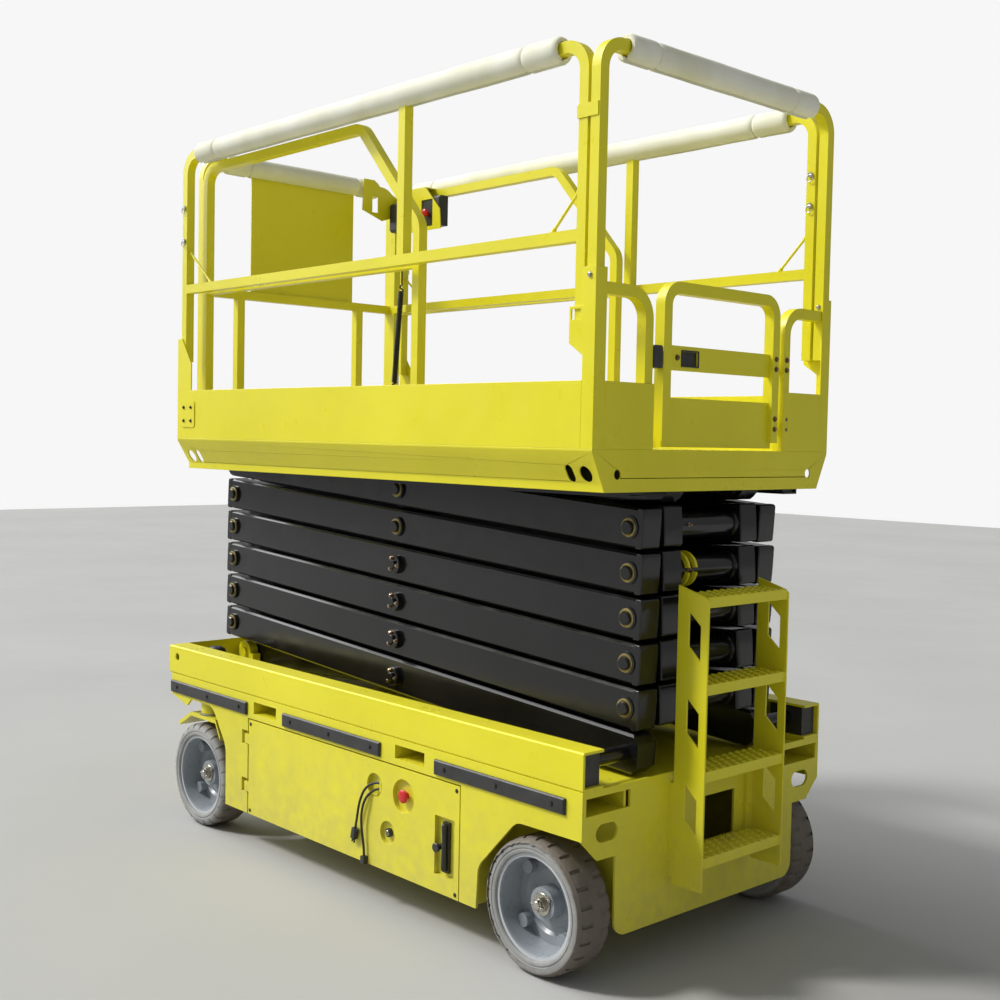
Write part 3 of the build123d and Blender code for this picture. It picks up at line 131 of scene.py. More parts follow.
yellow_enamel = finish("yellow_enamel", ((0.74, 0.68, 0.012), (0.82, 0.752, 0.022)),
                       (0.26, 0.40), 2.2, 420.0, 0.05, dust=0.55, sheen=0.38)
paint(yellow_enamel, *nodes_in("yellow_paint"))
black_enamel = finish("black_enamel", ((0.004, 0.004, 0.005), (0.008, 0.008, 0.009)),
                      (0.14, 0.25), 3.0, 500.0, 0.04, dust=0.10)
paint(black_enamel, *nodes_in("black_paint"))

# Edges: folded and sawn steel has no knife edges. On the main plates and bars the split corners of the
# triangles are joined, and a narrow rounding is run along the sharp edges, so that they catch the light.
join_gap = 0.00001
levels = range(1, 7)


def new_tree(name, **kinds):
    """Start a tree that takes a geometry and named inputs of some kinds, and give it with its inputs."""
    tree = bpy.data.node_groups.new(name, "GeometryNodeTree")
    tree.interface.new_socket("Geometry", in_out="INPUT", socket_type="NodeSocketGeometry")
    for label, kind in kinds.items():
        tree.interface.new_socket(label.replace("_", " "), in_out="INPUT", socket_type="NodeSocket" + kind)
    tree.interface.new_socket("Geometry", in_out="OUTPUT", socket_type="NodeSocketGeometry")
    return tree, tree.nodes.new("NodeGroupInput").outputs


join_tree, given = new_tree("join_corners")
joined = add_node(join_tree, "GeometryNodeMergeByDistance", Geometry=given["Geometry"], Distance=join_gap)
plain = add_node(join_tree, "GeometryNodeRemoveAttribute", Geometry=joined.outputs["Geometry"],
                 Name="custom_normal")
add_node(join_tree, "NodeGroupOutput", Geometry=plain.outputs["Geometry"])


def round_edges(made, width, angle):
    """Run a live bevel along the edges of an object that are sharper than an angle."""
    bevel = made.modifiers.new("ease_edges", "BEVEL")
    bevel.width = width * mm
    bevel.segments = 2
    bevel.limit_method = "ANGLE"
    bevel.angle_limit = math.radians(angle)


def ease(width, *names):
    """Round the sharp edges of CAD nodes by a narrow bevel, without touching their meshes."""
    for name in names:
        join = nodes[name].modifiers.new("join_corners", "NODES")
        join.node_group = join_tree
        round_edges(nodes[name], width, 32.0)
        even = nodes[name].modifiers.new("even_shading", "WEIGHTED_NORMAL")
        even.keep_sharp = False


ease(1.2, "side_skirts", "slide_rails", "rear_plate", "front_plate", "ladder", "deck", "toe_boards",
     "corner_posts", "door_left", "door_right", "bumpers")
ease(6.0, *[f"{kind}_arms_{level}" for kind in ("outer", "inner") for level in levels])

# Power packs: the batteries and the hydraulic unit behind the doors, as two plain blocks.
# Their cases are moulded in dark grey plastic with a fine grain.
pack_casing = finish("pack_casing", ((0.05, 0.05, 0.055), (0.08, 0.08, 0.085)),
                     (0.45, 0.6), 5.0, 300.0, 0.1)
paint(pack_casing, *nodes_in("pack_casing"))

# Wheel nuts: castle nuts in zinc plate hold the wheels on their studs, with a washer, a bent locking tab
# and a split pin through the slots. They stay with the stud while the wheel turns behind them.
zinc_plate = finish("zinc_plate", ((0.40, 0.38, 0.31), (0.60, 0.58, 0.53)),
                    (0.20, 0.36), 30.0, 900.0, 0.08, metal=1.0)
rear_axle, front_axle, axle_z = -858.5, 937.5, 190.5
stud_face = 499.0


def turn(shape, centre, axis, profile, around=32):
    """Add a turned form: profile lists (distance along the axis, radius), in millimetres from the centre."""
    axis = Vector(axis).normalized()
    across = axis.orthogonal().normalized()
    third = axis.cross(across)
    centre = Vector(centre)
    rings = []
    for along, radius in profile:
        middle = centre + axis * along
        if radius == 0:
            rings.append([shape.verts.new(middle)])
            continue
        ring = []
        for i in range(around):
            angle = 2.0 * math.pi * i / around
            ray = across * math.cos(angle) + third * math.sin(angle)
            ring.append(shape.verts.new(middle + ray * radius))
        rings.append(ring)
    for low, high in zip(rings, rings[1:]):
        for i in range(around):
            j = (i + 1) % around
            corners = (low[i % len(low)], low[j % len(low)], high[j % len(high)], high[i % len(high)])
            distinct = list(dict.fromkeys(corners))
            if len(distinct) > 2:
                shape.faces.new(distinct)


def plate(shape, outline, thickness):
    """Add a flat plate: a planar outline of points, and the vector of its thickness, in millimetres."""
    thickness = Vector(thickness)
    near = [shape.verts.new(Vector(point)) for point in outline]
    far = [shape.verts.new(Vector(point) + thickness) for point in outline]
    shape.faces.new(near)
    shape.faces.new(far)
    for i in range(len(outline)):
        j = (i + 1) % len(outline)
        shape.faces.new((near[i], near[j], far[j], far[i]))


def settle(name, shape, material, body, smooth=35.0):
    """Close a mesh, bring it to metres, and make it a piece that rides on a body."""
    bmesh.ops.remove_doubles(shape, verts=shape.verts, dist=0.01)
    bmesh.ops.recalc_face_normals(shape, faces=shape.faces)
    bmesh.ops.scale(shape, verts=shape.verts, vec=(mm, mm, mm))
    mesh = bpy.data.meshes.new(name)
    shape.to_mesh(mesh)
    shape.free()
    mesh.materials.append(material)
    mesh.shade_smooth()
    mesh.set_sharp_from_angle(angle=math.radians(smooth))
    made = bpy.data.objects.new(name, mesh)
    bpy.context.scene.collection.objects.link(made)
    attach(made, body)
    return made


def wheel_nut(name, body, x, side):
    """One castle nut, washer and locking tab on the stud of a wheel."""
    shape = bmesh.new()
    stud = Vector((x, side * stud_face, axle_z))
    out = Vector((0, side, 0))
    turn(shape, stud, out, [(0, 12.2), (0, 31), (1, 32), (3, 32), (4, 31), (4, 12.2), (0, 12.2)], 40)
    turn(shape, stud, out, [(4, 12.2), (4, 20.5), (6, 22.5), (15, 22.5), (16, 20), (16, 12.2), (4, 12.2)], 6)
    turn(shape, stud, out, [(16, 0), (16, 12.2), (23.2, 12.2), (24.4, 10.6), (24.4, 0)], 24)
    for i in range(6):
        start = math.radians(60.0 * i + 11.0)
        stop = math.radians(60.0 * i + 49.0)
        wall = []
        for radius, turns in ((13.0, (start, stop)), (19.0, (stop, start))):
            for t in turns:
                wall.append(stud + out * 16.0 + Vector((math.cos(t), 0, math.sin(t))) * radius)
        plate(shape, wall, out * 6.0)
    tab = stud + out * 4.0
    outline = [(-17, 18), (6, 23), (26, 30), (36, 25), (35, 15), (22, 3), (10, -18)]
    plate(shape, [tab + Vector((-side * u, 0, v)) for u, v in outline], out * 2.2)
    eye = tab + out * 2.2 + Vector((-side * 28.0, 0, 22.0))
    turn(shape, eye, out, [(0, 4.2), (0, 7), (1.2, 6.4), (1.2, 4.2), (0, 4.2)], 20)
    pin = stud + out * 20.0 + Vector((-24.0, 0, -3.0))
    turn(shape, pin, (1, 0, 0.12), [(0, 0), (0, 1.9), (48, 1.9), (48, 0)], 10)
    settle(name, shape, zinc_plate, body)


wheels = [("front_left", "knuckle_left", front_axle, 1), ("front_right", "knuckle_right", front_axle, -1),
          ("rear_left", "chassis", rear_axle, 1), ("rear_right", "chassis", rear_axle, -1)]
for corner, carrier, x, side in wheels:
    wheel_nut(f"wheel_nut_{corner}", carrier, x, side)

# Rims: pressed steel dishes in blue-grey paint, rubbed pale round the lip. The two wheels of an axle share
# a finish, because its bands of colour are centred on that axle.
axles = ((rear_axle, "rear"), (front_axle, "front"))
rim_greys, rubbed_lip = ((0.235, 0.262, 0.29), (0.30, 0.327, 0.355)), (0.50, 0.53, 0.56)


def wheel_finish(name, colours, outer, band, rough, grain, bump, x, blur):
    """A finish that changes to an outer colour between two radii of the wheel at x, with a ragged edge."""
    material = finish(name, colours, rough, 12.0, grain, bump)
    tree = material.node_tree
    shader = tree.nodes["Principled BSDF"]
    base = shader.inputs["Base Color"].links[0].from_socket
    place = tree.nodes["Texture Coordinate"].outputs["Object"]
    centred = add_node(tree, "ShaderNodeMapping", Vector=place, Location=(-x * mm, 0.0, -axle_z * mm),
                       Scale=(1.0, 0.0, 1.0))
    radius = add_math(tree, "LENGTH", centred.outputs["Vector"], kind="ShaderNodeVectorMath")
    ragged = add_node(tree, "ShaderNodeTexNoise", Vector=place, Scale=55.0, Detail=7.0)
    shifted = add_math(tree, "MULTIPLY_ADD", ragged.outputs["Fac"], blur * mm, radius)
    start, stop = (edge * mm + blur * mm / 2 for edge in band)
    share = add_node(tree, "ShaderNodeMapRange", Value=shifted, From_Min=start, From_Max=stop)
    mix = add_node(tree, "ShaderNodeMix", {"data_type": "RGBA"}, Factor=share.outputs["Result"], A=base,
                   B=(*outer, 1.0))
    tree.links.new(mix.outputs["Result"], shader.inputs["Base Color"])
    return material


for x, end in axles:
    rim_paint = wheel_finish(f"rim_paint_{end}", rim_greys, rubbed_lip, (134.0, 138.0), (0.24, 0.42), 300.0,
                             0.10, x, 2.0)
    paint(rim_paint, f"rim_{end}_left", f"rim_{end}_right")

# Tyres: solid grey rubber pressed on the rims, with shallow lugs cut in from both shoulders.
# The tread is worn and brown with dirt, and the outer shoulders of the rear tyres are scuffed ragged.
hands = (("left", 1), ("right", -1))
tyre_face, tyre_width = 543.0, 127.0
lug_count, lug_depth, lug_reach, lug_root = 24, 5.0, 48.0, 172.0
lug_steps = (0.0, 0.02, 0.20, 0.22, 0.42, 0.61, 0.80)
worn_from, worn_to = 2.0, 18.0
torn_steps, torn_lowest = 150, 215.0
tyre_profile = [(5, 146.4), (2, 149), (0.6, 153), (0.4, 157), (2.2, 158.5), (2.2, 161), (0.4, 162.5),
                (0.2, 168), (1.6, 174), (4.5, 180), (9, 185.5), (15, 189), (22, 190.3), (34, 190.5),
                (46, 190.5), (50, 190.5), (63.5, 190.5)]
wall_greys, dirty_tread = ((0.25, 0.25, 0.245), (0.35, 0.35, 0.34)), (0.150, 0.128, 0.102)
dirty_bands = {"rear": (170.0, 182.0), "front": (178.0, 190.0)}


def skin(shape, rings, closed=True):
    """Join rings of points by faces, and the last ring to the first where the form closes on itself."""
    following_rings = rings[1:] + rings[:1] if closed else rings[1:]
    for ring, following in zip(rings, following_rings):
        for k in range(len(ring)):
            m = (k + 1) % len(ring)
            shape.faces.new((ring[k], ring[m], following[m], following[k]))


def wheel_point(x, side, depth, radius, angle):
    """A point of a tyre, from its depth behind the outer face, its radius and its angle round the axle."""
    return (x + math.cos(angle) * radius, side * (tyre_face - depth), axle_z + math.sin(angle) * radius)


def build_tyre(x, side, worn, seed):
    """Lathe a tyre in steps round its axle, sinking the gaps between lugs and roughening a worn shoulder."""
    scatter = random.Random(seed)
    shape = bmesh.new()
    profile = tyre_profile + [(tyre_width - depth, radius) for depth, radius in reversed(tyre_profile[:-1])]
    rings = []
    for lug in range(lug_count):
        for step in lug_steps:
            angle = 2.0 * math.pi * (lug + step) / lug_count
            ring = []
            for depth, radius in profile:
                edge = min(depth, tyre_width - depth)
                outer_half = depth < tyre_width / 2
                staggered = (step + (0.0 if outer_half else 0.5)) % 1.0
                if radius > lug_root and edge < lug_reach and 0.01 < staggered < 0.21:
                    radius -= lug_depth
                if worn and outer_half and worn_from < edge < worn_to and radius > lug_root:
                    radius -= scatter.uniform(0.0, 2.4)
                    depth -= scatter.uniform(-1.2, 1.6)
                ring.append(shape.verts.new(wheel_point(x, side, depth, radius, angle)))
            rings.append(ring)
    skin(shape, rings)
    return shape


def torn_edge(shape, x, side, seed):
    """Add a ragged flap of torn rubber that lies round the worn outer shoulder."""
    scatter = random.Random(seed)
    rings = []
    for i in range(torn_steps):
        angle = 2.0 * math.pi * i / torn_steps
        low = 0.5 + 0.5 * math.cos(angle - math.radians(torn_lowest))
        reach = 1.0 + 15.0 * low ** 2 + scatter.uniform(-1.0, 3.0)
        lift = 1.0 + scatter.uniform(0.0, 1.6)
        spots = [(9.0, 186.4), (4.0, 182.2), (0.4 - lift, 178.5), (-0.4 - lift, 178.0 - reach),
                 (0.4, 178.6 - reach), (4.5, 181.0), (9.0, 184.5)]
        rings.append([shape.verts.new(wheel_point(x, side, *spot, angle)) for spot in spots])
    skin(shape, rings)


for x, end in axles:
    tyre_rubber = wheel_finish(f"tyre_rubber_{end}", wall_greys, dirty_tread, dirty_bands[end], (0.62, 0.88),
                               240.0, 0.35, x, 14.0)
    for seed, (hand, side) in enumerate(hands):
        corner = f"{end}_{hand}"
        tyre_shape = build_tyre(x, side, end == "rear", 40 + seed)
        if end == "rear":
            torn_edge(tyre_shape, x, side, 60 + seed)
        tyre = settle(f"lugged_tyre_{corner}", tyre_shape, tyre_rubber, f"wheel_{corner}",
                      28.0)
        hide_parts(f"tyre_{corner}")

# Steering: forged knuckles in the machine's yellow turn on king pins, joined by a black track rod and swung
# by a small cylinder. Each king pin stands in a grey bush at the foot of its boss.
bush_grey = finish("bush_grey", ((0.20, 0.20, 0.20), (0.30, 0.30, 0.29)), (0.4, 0.55), 20.0, 500.0, 0.1)
king_pin_y, boss_foot = 479.5, 414.5
for hand, side in hands:
    bush_shape = bmesh.new()
    turn(bush_shape, (front_axle, side * king_pin_y, boss_foot), (0, 0, 1),
         [(0.2, 47), (0.2, 52), (1.5, 53), (3.5, 53), (5.0, 51), (5.0, 47), (0.2, 47)], 40)
    settle(f"king_pin_bush_{hand}", bush_shape, bush_grey, "chassis")

# Bolt heads: plated hex bolts on washers, and round-headed screws. One node tree sets them on points,
# each turned to the face that it clamps, and its inputs give the size.
dark_bolt = finish("dark_bolt", ((0.03, 0.03, 0.03), (0.07, 0.065, 0.06)),
                   (0.3, 0.5), 40.0, 600.0, 0.1, metal=0.6)
brown_bolt = finish("brown_bolt", ((0.16, 0.10, 0.05), (0.26, 0.19, 0.11)),
                    (0.35, 0.55), 60.0, 600.0, 0.1, metal=0.7)
crown_radius, crown_height = 0.72, 0.22
bolt_tree, given = new_tree("bolt_heads", Head_Radius="Float", Head_Height="Float", Washer_Radius="Float",
                            Washer_Height="Float", Head_Sides="Int", Plating="Material")


def raised(tree, form, height):
    """Lift a form by a height along Z."""
    lift = add_node(tree, "ShaderNodeCombineXYZ", Z=height)
    moved = add_node(tree, "GeometryNodeTransform", Geometry=form, Translation=lift.outputs["Vector"])
    return moved.outputs["Geometry"]


def carried(tree, name):
    """The vector that each point carries under a name."""
    kept = add_node(tree, "GeometryNodeInputNamedAttribute", {"data_type": "FLOAT_VECTOR"}, Name=name)
    return kept.outputs["Attribute"]


def end_tree(tree, points, form, rotation, material):
    """Set a form on points, make it real, give it its material and end the tree there."""
    placed = add_node(tree, "GeometryNodeInstanceOnPoints", Points=points, Instance=form, Rotation=rotation)
    real = add_node(tree, "GeometryNodeRealizeInstances", Geometry=placed.outputs["Instances"])
    dressed = add_node(tree, "GeometryNodeSetMaterial", Geometry=real.outputs["Geometry"], Material=material)
    add_node(tree, "NodeGroupOutput", Geometry=dressed.outputs["Geometry"])


head = add_node(bolt_tree, "GeometryNodeMeshCylinder", Vertices=given["Head Sides"],
                Radius=given["Head Radius"], Depth=given["Head Height"])
head_rise = add_math(bolt_tree, "MULTIPLY_ADD", given["Head Height"], 0.5, given["Washer Height"])
crown = add_node(bolt_tree, "GeometryNodeMeshCone", Vertices=given["Head Sides"],
                 Radius_Top=add_math(bolt_tree, "MULTIPLY", given["Head Radius"], crown_radius),
                 Radius_Bottom=given["Head Radius"],
                 Depth=add_math(bolt_tree, "MULTIPLY", given["Head Height"], crown_height))
crown_rise = add_math(bolt_tree, "ADD", given["Head Height"], given["Washer Height"])
washer = add_node(bolt_tree, "GeometryNodeMeshCylinder", Vertices=20, Radius=given["Washer Radius"],
                  Depth=given["Washer Height"])
washer_rise = add_math(bolt_tree, "MULTIPLY", given["Washer Height"], 0.5)
bolt_form = add_node(bolt_tree, "GeometryNodeJoinGeometry")
for part, rise in ((head, head_rise), (crown, crown_rise), (washer, washer_rise)):
    bolt_tree.links.new(raised(bolt_tree, part.outputs["Mesh"], rise), bolt_form.inputs["Geometry"])
aligned = add_node(bolt_tree, "FunctionNodeAlignRotationToVector", {"axis": "Z"},
                   Vector=carried(bolt_tree, "facing"))
chance = add_node(bolt_tree, "FunctionNodeRandomValue", {"data_type": "FLOAT"}, Seed=7)
spin = add_node(bolt_tree, "FunctionNodeAxisAngleToRotation", Angle=chance.outputs[1])
spun = add_node(bolt_tree, "FunctionNodeRotateRotation", {"rotation_space": "LOCAL"},
                Rotation=aligned.outputs["Rotation"], Rotate_By=spin.outputs["Rotation"])
end_tree(bolt_tree, given["Geometry"], bolt_form.outputs["Geometry"], spun.outputs["Rotation"],
         given["Plating"])


def grow(name, tree, spots, attribute, settings, body):
    """Run a node tree on points, each with a vector, and keep the result as one plain mesh on a body."""
    seed = bpy.data.meshes.new(name + "_points")
    seed.from_pydata([Vector(spot) * mm for spot, value in spots], [], [])
    values = seed.attributes.new(attribute, "FLOAT_VECTOR", "POINT")
    for item, (spot, value) in zip(values.data, spots):
        item.vector = value
    holder = bpy.data.objects.new(name + "_points", seed)
    bpy.context.scene.collection.objects.link(holder)
    modifier = holder.modifiers.new("grow", "NODES")
    modifier.node_group = tree
    for item in tree.interface.items_tree:
        if item.in_out == "INPUT" and item.name in settings:
            modifier[item.identifier] = settings[item.name]
    bpy.context.view_layer.update()
    grown = bpy.data.meshes.new_from_object(holder.evaluated_get(bpy.context.evaluated_depsgraph_get()))
    bpy.data.objects.remove(holder)
    grown.name = name
    made = bpy.data.objects.new(name, grown)
    bpy.context.scene.collection.objects.link(made)
    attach(made, body)


def bolts(name, body, spots, head, washer, plating, sides=6):
    """Set bolts of one size: spots are (place in millimetres, facing), head and washer (radius, height)."""
    settings = {"Head Radius": head[0] * mm, "Head Height": head[1] * mm, "Washer Radius": washer[0] * mm,
                "Washer Height": washer[1] * mm, "Head Sides": sides, "Plating": plating}
    grow(name, bolt_tree, spots, "facing", settings, body)


# Bumper strips: black moulded plastic along the skirts, where the machine rubs along walls.
# Each strip is held by three round-headed screws on washers.
black_plastic = finish("black_plastic", ((0.018, 0.018, 0.019), (0.034, 0.034, 0.035)),
                       (0.32, 0.5), 18.0, 380.0, 0.18)
paint(black_plastic, *nodes_in("black_plastic"))
bumper_spans = ((597.5, 1138.5), (-177.5, 368.6), (-984.5, -441.6))
bumper_face, bumper_z = 552.3, 499.0
bumper_spots = []
for low, high in bumper_spans:
    for share in (0.09, 0.5, 0.91):
        for side in (1, -1):
            bumper_spots.append(((low + (high - low) * share, side * bumper_face, bumper_z), (0, side, 0)))
bolts("bumper_screws", "chassis", bumper_spots, (5.5, 2.0), (8.5, 0.8), dark_bolt, 20)

# Side doors: pressed panels with the stop button and the key valve in round recesses and the brake release
# lever behind a slot. Button, lever and knob are moulded plastic, and the key valve's stem is plated.
red_plastic = finish("red_plastic", ((0.52, 0.012, 0.012), (0.62, 0.02, 0.018)),
                     (0.18, 0.3), 14.0, 300.0, 0.05)


def mushroom(name, node, body, side):
    """A turned stop button in the place of its CAD node: a stem and a domed red cap."""
    low, high = (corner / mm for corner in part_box(node))
    middle = Vector(((low.x + high.x) / 2, low.y if side > 0 else high.y, (low.z + high.z) / 2))
    radius = (high.x - low.x) / 2
    tall = high.y - low.y
    cap = [(tall - 10.0, 0.55 * radius), (tall - 9.6, 0.9 * radius), (tall - 8.0, radius),
           (tall - 5.0, radius), (tall - 3.0, 0.93 * radius), (tall - 1.2, 0.7 * radius),
           (tall - 0.3, 0.35 * radius), (tall, 0.0)]
    shape = bmesh.new()
    turn(shape, middle, (0, side, 0), [(0, 0), (0, 0.55 * radius)] + cap, 40)
    made = settle(name, shape, red_plastic, body, 50.0)
    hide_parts(node)


mushroom("stop_button_cap", "stop_button", "door_left", 1)
key_shape = bmesh.new()
turn(key_shape, (-217.0, 541.2, 245.0), (0, 1, 0), [(0, 0), (0, 9), (3, 9), (4, 8), (4, 0)], 28)
key_bow = [(-218.2, 545.2, 239), (-215.8, 545.2, 239), (-215.8, 545.2, 251), (-218.2, 545.2, 251)]
plate(key_shape, key_bow, (0, 3, 0))
settle("key_valve_stem", key_shape, zinc_plate, "door_left")
lever_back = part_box("release_lever")[0].y / mm
grip_shape = bmesh.new()
turn(grip_shape, (-490.0, lever_back + 15.0, 196.0), (0, 0, 1),
     [(0, 0), (0.5, 6), (3, 8.5), (10, 9.5), (60, 8.0), (100, 7.4), (132, 8.6), (138, 8), (141, 5), (142, 0)],
     28)
turn(grip_shape, (-464.0, lever_back + 17.0, 262.0), (0, 1, 0),
     [(0, 0), (0, 8), (4, 8), (4, 13), (6, 14.5), (10, 14.5), (12, 12.5), (12, 0)], 28)
settle("release_lever_grip", grip_shape, black_plastic, "door_left")
door_face = 543.2
for hand, side in hands:
    body = f"door_{hand}"
    spots = [((x, side * door_face, z), (0, side, 0)) for x in (-541.0, 575.0) for z in (138.0, 446.0)]
    bolts(f"door_screws_{body}", body, spots, (4.5, 1.6), (6.5, 0.5), dark_bolt, 20)

# Charger lead: a black rubber flex of two strands out of the door's round hole. One ends in a moulded plug,
# the other in a clip. Each is one smooth curve on the route of its solid.
lead_sheath = finish("lead_sheath", ((0.012, 0.012, 0.013), (0.022, 0.022, 0.023)),
                     (0.42, 0.6), 60.0, 900.0, 0.12)
paint(lead_sheath, *nodes_in("lead_sheath"))
cord_hole = Vector((-147.5, 543.0, 381.0))
plug_route = [(-24.5, -7, 9), (-2, -7, 9), (27, 14, -8), (56, 16, -59), (74, 12, -125), (82, 11, -155)]
clip_route = [(-24.5, -7, -10), (-2, -7, -10), (30, 15, -44), (49, 15, -106), (45, 12, -162), (37, 9, -212),
              (37, 9, -233)]


def flex(name, points, diameter, body, resolution=12):
    """A cord as one smooth spline that is led by control points in millimetres."""
    curve = bpy.data.curves.new(name, "CURVE")
    curve.dimensions = "3D"
    spline = curve.splines.new("NURBS")
    spline.points.add(len(points) - 1)
    for control, point in zip(spline.points, points):
        control.co = (*(Vector(point) * mm), 1.0)
    spline.order_u = 3
    spline.use_endpoint_u = True
    spline.resolution_u = resolution
    curve.bevel_depth = diameter * mm / 2
    curve.bevel_resolution = 3
    curve.use_fill_caps = True
    curve.materials.append(lead_sheath)
    made = bpy.data.objects.new(name, curve)
    bpy.context.scene.collection.objects.link(made)
    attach(made, body)
    return made


for name, node, route, far_node, far_end, length in (
        ("plug_flex", "lead_to_plug", plug_route, "plug", "plug", 0.218),
        ("clip_flex", "lead_to_clip", clip_route, "lead_clip", "fitting", 0.263)):
    strand = [cord_hole + Vector(offset) for offset in route]
    made = flex(name, strand, 8.0, "door_left")
    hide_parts(node)

# Beacon: a small amber flasher on the nose rail. Its ribbed lens is moulded plastic, and it stands on a black
# foot under a black mushroom cap.
amber_plastic = finish("amber_plastic", ((0.72, 0.24, 0.01), (0.82, 0.30, 0.02)),
                       (0.12, 0.2), 10.0, 300.0, 0.03)
beacon_low, beacon_high = (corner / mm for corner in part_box("beacon"))
beacon_foot = Vector(((beacon_low.x + beacon_high.x) / 2, (beacon_low.y + beacon_high.y) / 2, beacon_low.z))
beacon_radius = (beacon_high.x - beacon_low.x) / 2
beacon_tall = beacon_high.z - beacon_low.z
lens_shape = bmesh.new()
lens_profile = [(0.30, 0.0), (0.30, 0.76)]
for i in range(7):
    lens_profile += [(0.31 + 0.05 * i, 0.78), (0.335 + 0.05 * i, 0.74)]
lens_profile += [(0.68, 0.76), (0.68, 0.0)]
turn(lens_shape, beacon_foot, (0, 0, 1), [(a * beacon_tall, r * beacon_radius) for a, r in lens_profile], 40)
lens = settle("beacon_lens", lens_shape, amber_plastic, "chassis", 20.0)
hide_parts("beacon")
cap_shape = bmesh.new()
foot_profile = [(0.0, 0.0), (0.0, 0.98), (0.1, 1.0), (0.24, 0.9), (0.305, 0.84), (0.305, 0.0)]
cap_profile = [(0.66, 0.0), (0.66, 0.9), (0.69, 0.98), (0.80, 0.99), (0.90, 0.86), (0.97, 0.5), (1.0, 0.0)]
for profile in (foot_profile, cap_profile):
    turn(cap_shape, beacon_foot, (0, 0, 1), [(a * beacon_tall, r * beacon_radius) for a, r in profile], 40)
settle("beacon_foot_and_cap", cap_shape, black_plastic, "chassis", 50.0)

# Ladder: yellow sides with four treads, which are pressed with rows of raised drain holes for grip.
# One tree sets a flared rim with a short bore on each point.
bore_taper, bore_share, bore_start = 0.86, 0.9, 0.1
hole_tree, given = new_tree("tread_holes", Rim_Radius="Float", Hole_Radius="Float", Rim_Height="Float",
                            Enamel="Material")
flank = add_node(hole_tree, "GeometryNodeMeshCone", {"fill_type": "NONE"}, Vertices=14,
                 Radius_Top=given["Hole Radius"], Radius_Bottom=given["Rim Radius"],
                 Depth=given["Rim Height"])
bore = add_node(hole_tree, "GeometryNodeMeshCone", {"fill_type": "NONE"}, Vertices=14,
                Radius_Top=given["Hole Radius"],
                Radius_Bottom=add_math(hole_tree, "MULTIPLY", given["Hole Radius"], bore_taper),
                Depth=add_math(hole_tree, "MULTIPLY", given["Rim Height"], bore_share))
bore_rise = add_math(hole_tree, "MULTIPLY", given["Rim Height"], bore_start)
rim_form = add_node(hole_tree, "GeometryNodeJoinGeometry")
for form in (flank.outputs["Mesh"], raised(hole_tree, bore.outputs["Mesh"], bore_rise)):
    hole_tree.links.new(form, rim_form.inputs["Geometry"])


def turned(tree):
    """The rotation by the angles that each point carries."""
    return add_node(tree, "FunctionNodeEulerToRotation", Euler=carried(tree, "turned")).outputs["Rotation"]


end_tree(hole_tree, given["Geometry"], rim_form.outputs["Geometry"], turned(hole_tree), given["Enamel"])
step_tops = (326.0, 568.0, 810.0, 1052.0)
first_row_x, row_pitch, hole_pitch, hole_stagger = -1150.0, 27.0, 31.0, 7.0
hole_spots = []
for z in step_tops:
    for row in range(4):
        for column in range(11):
            y = (column - 5) * hole_pitch + (hole_stagger if row % 2 else -hole_stagger)
            hole_spots.append(((first_row_x + row * row_pitch, y, z), (0, 0, 0.4 * column)))
grow("tread_holes", hole_tree, hole_spots, "turned",
     {"Rim Radius": 9.0 * mm, "Hole Radius": 6.0 * mm, "Rim Height": 3.0 * mm, "Enamel": yellow_enamel},
     "chassis")

# Scissor arms: rolled steel box bars in satin black, pinned through bronze bushes. A greased brass ring
# shows round each pin's end, and the lower middle pins are kept in by collars with three plated bolts.
greased_brass = finish("greased_brass", ((0.20, 0.15, 0.045), (0.40, 0.32, 0.12)),
                       (0.3, 0.55), 60.0, 500.0, 0.2, metal=0.8)
copper_plate = finish("copper_plate", ((0.30, 0.18, 0.09), (0.50, 0.43, 0.35)),
                      (0.2, 0.35), 70.0, 700.0, 0.08, metal=1.0)
base_pin_z, level_pitch = 606.0, 126.0
front_pin_x, middle_pin_x, rear_pin_x = 1093.5, 61.0, -971.5
arm_face, boss_height = 303.0, 8.0
collar_levels = (1, 2, 3, 4)
collar_top, bolt_circle = 8.5, 21.5
collar_profile = [(0.05, 0), (0.05, 30), (1, 31), (7, 31), (collar_top, 29.5), (collar_top, 14), (15, 14),
                  (17, 12), (17, 0)]


def pin_end(shape_ring, shape_pin, x, z, side, rise):
    """A brass ring and the chamfered end of a pin, standing on a boss that rises above the arm's face."""
    face = (x, side * (arm_face + rise), z)
    out = (0, side, 0)
    turn(shape_ring, face, out, [(0.05, 20), (0.05, 27), (1.6, 26.5), (2.4, 24), (2.0, 20), (0.05, 20)], 36)
    turn(shape_pin, face, out, [(0.05, 0), (0.05, 19.4), (9.0, 19.4), (12.0, 16.4), (12.0, 0)], 36)


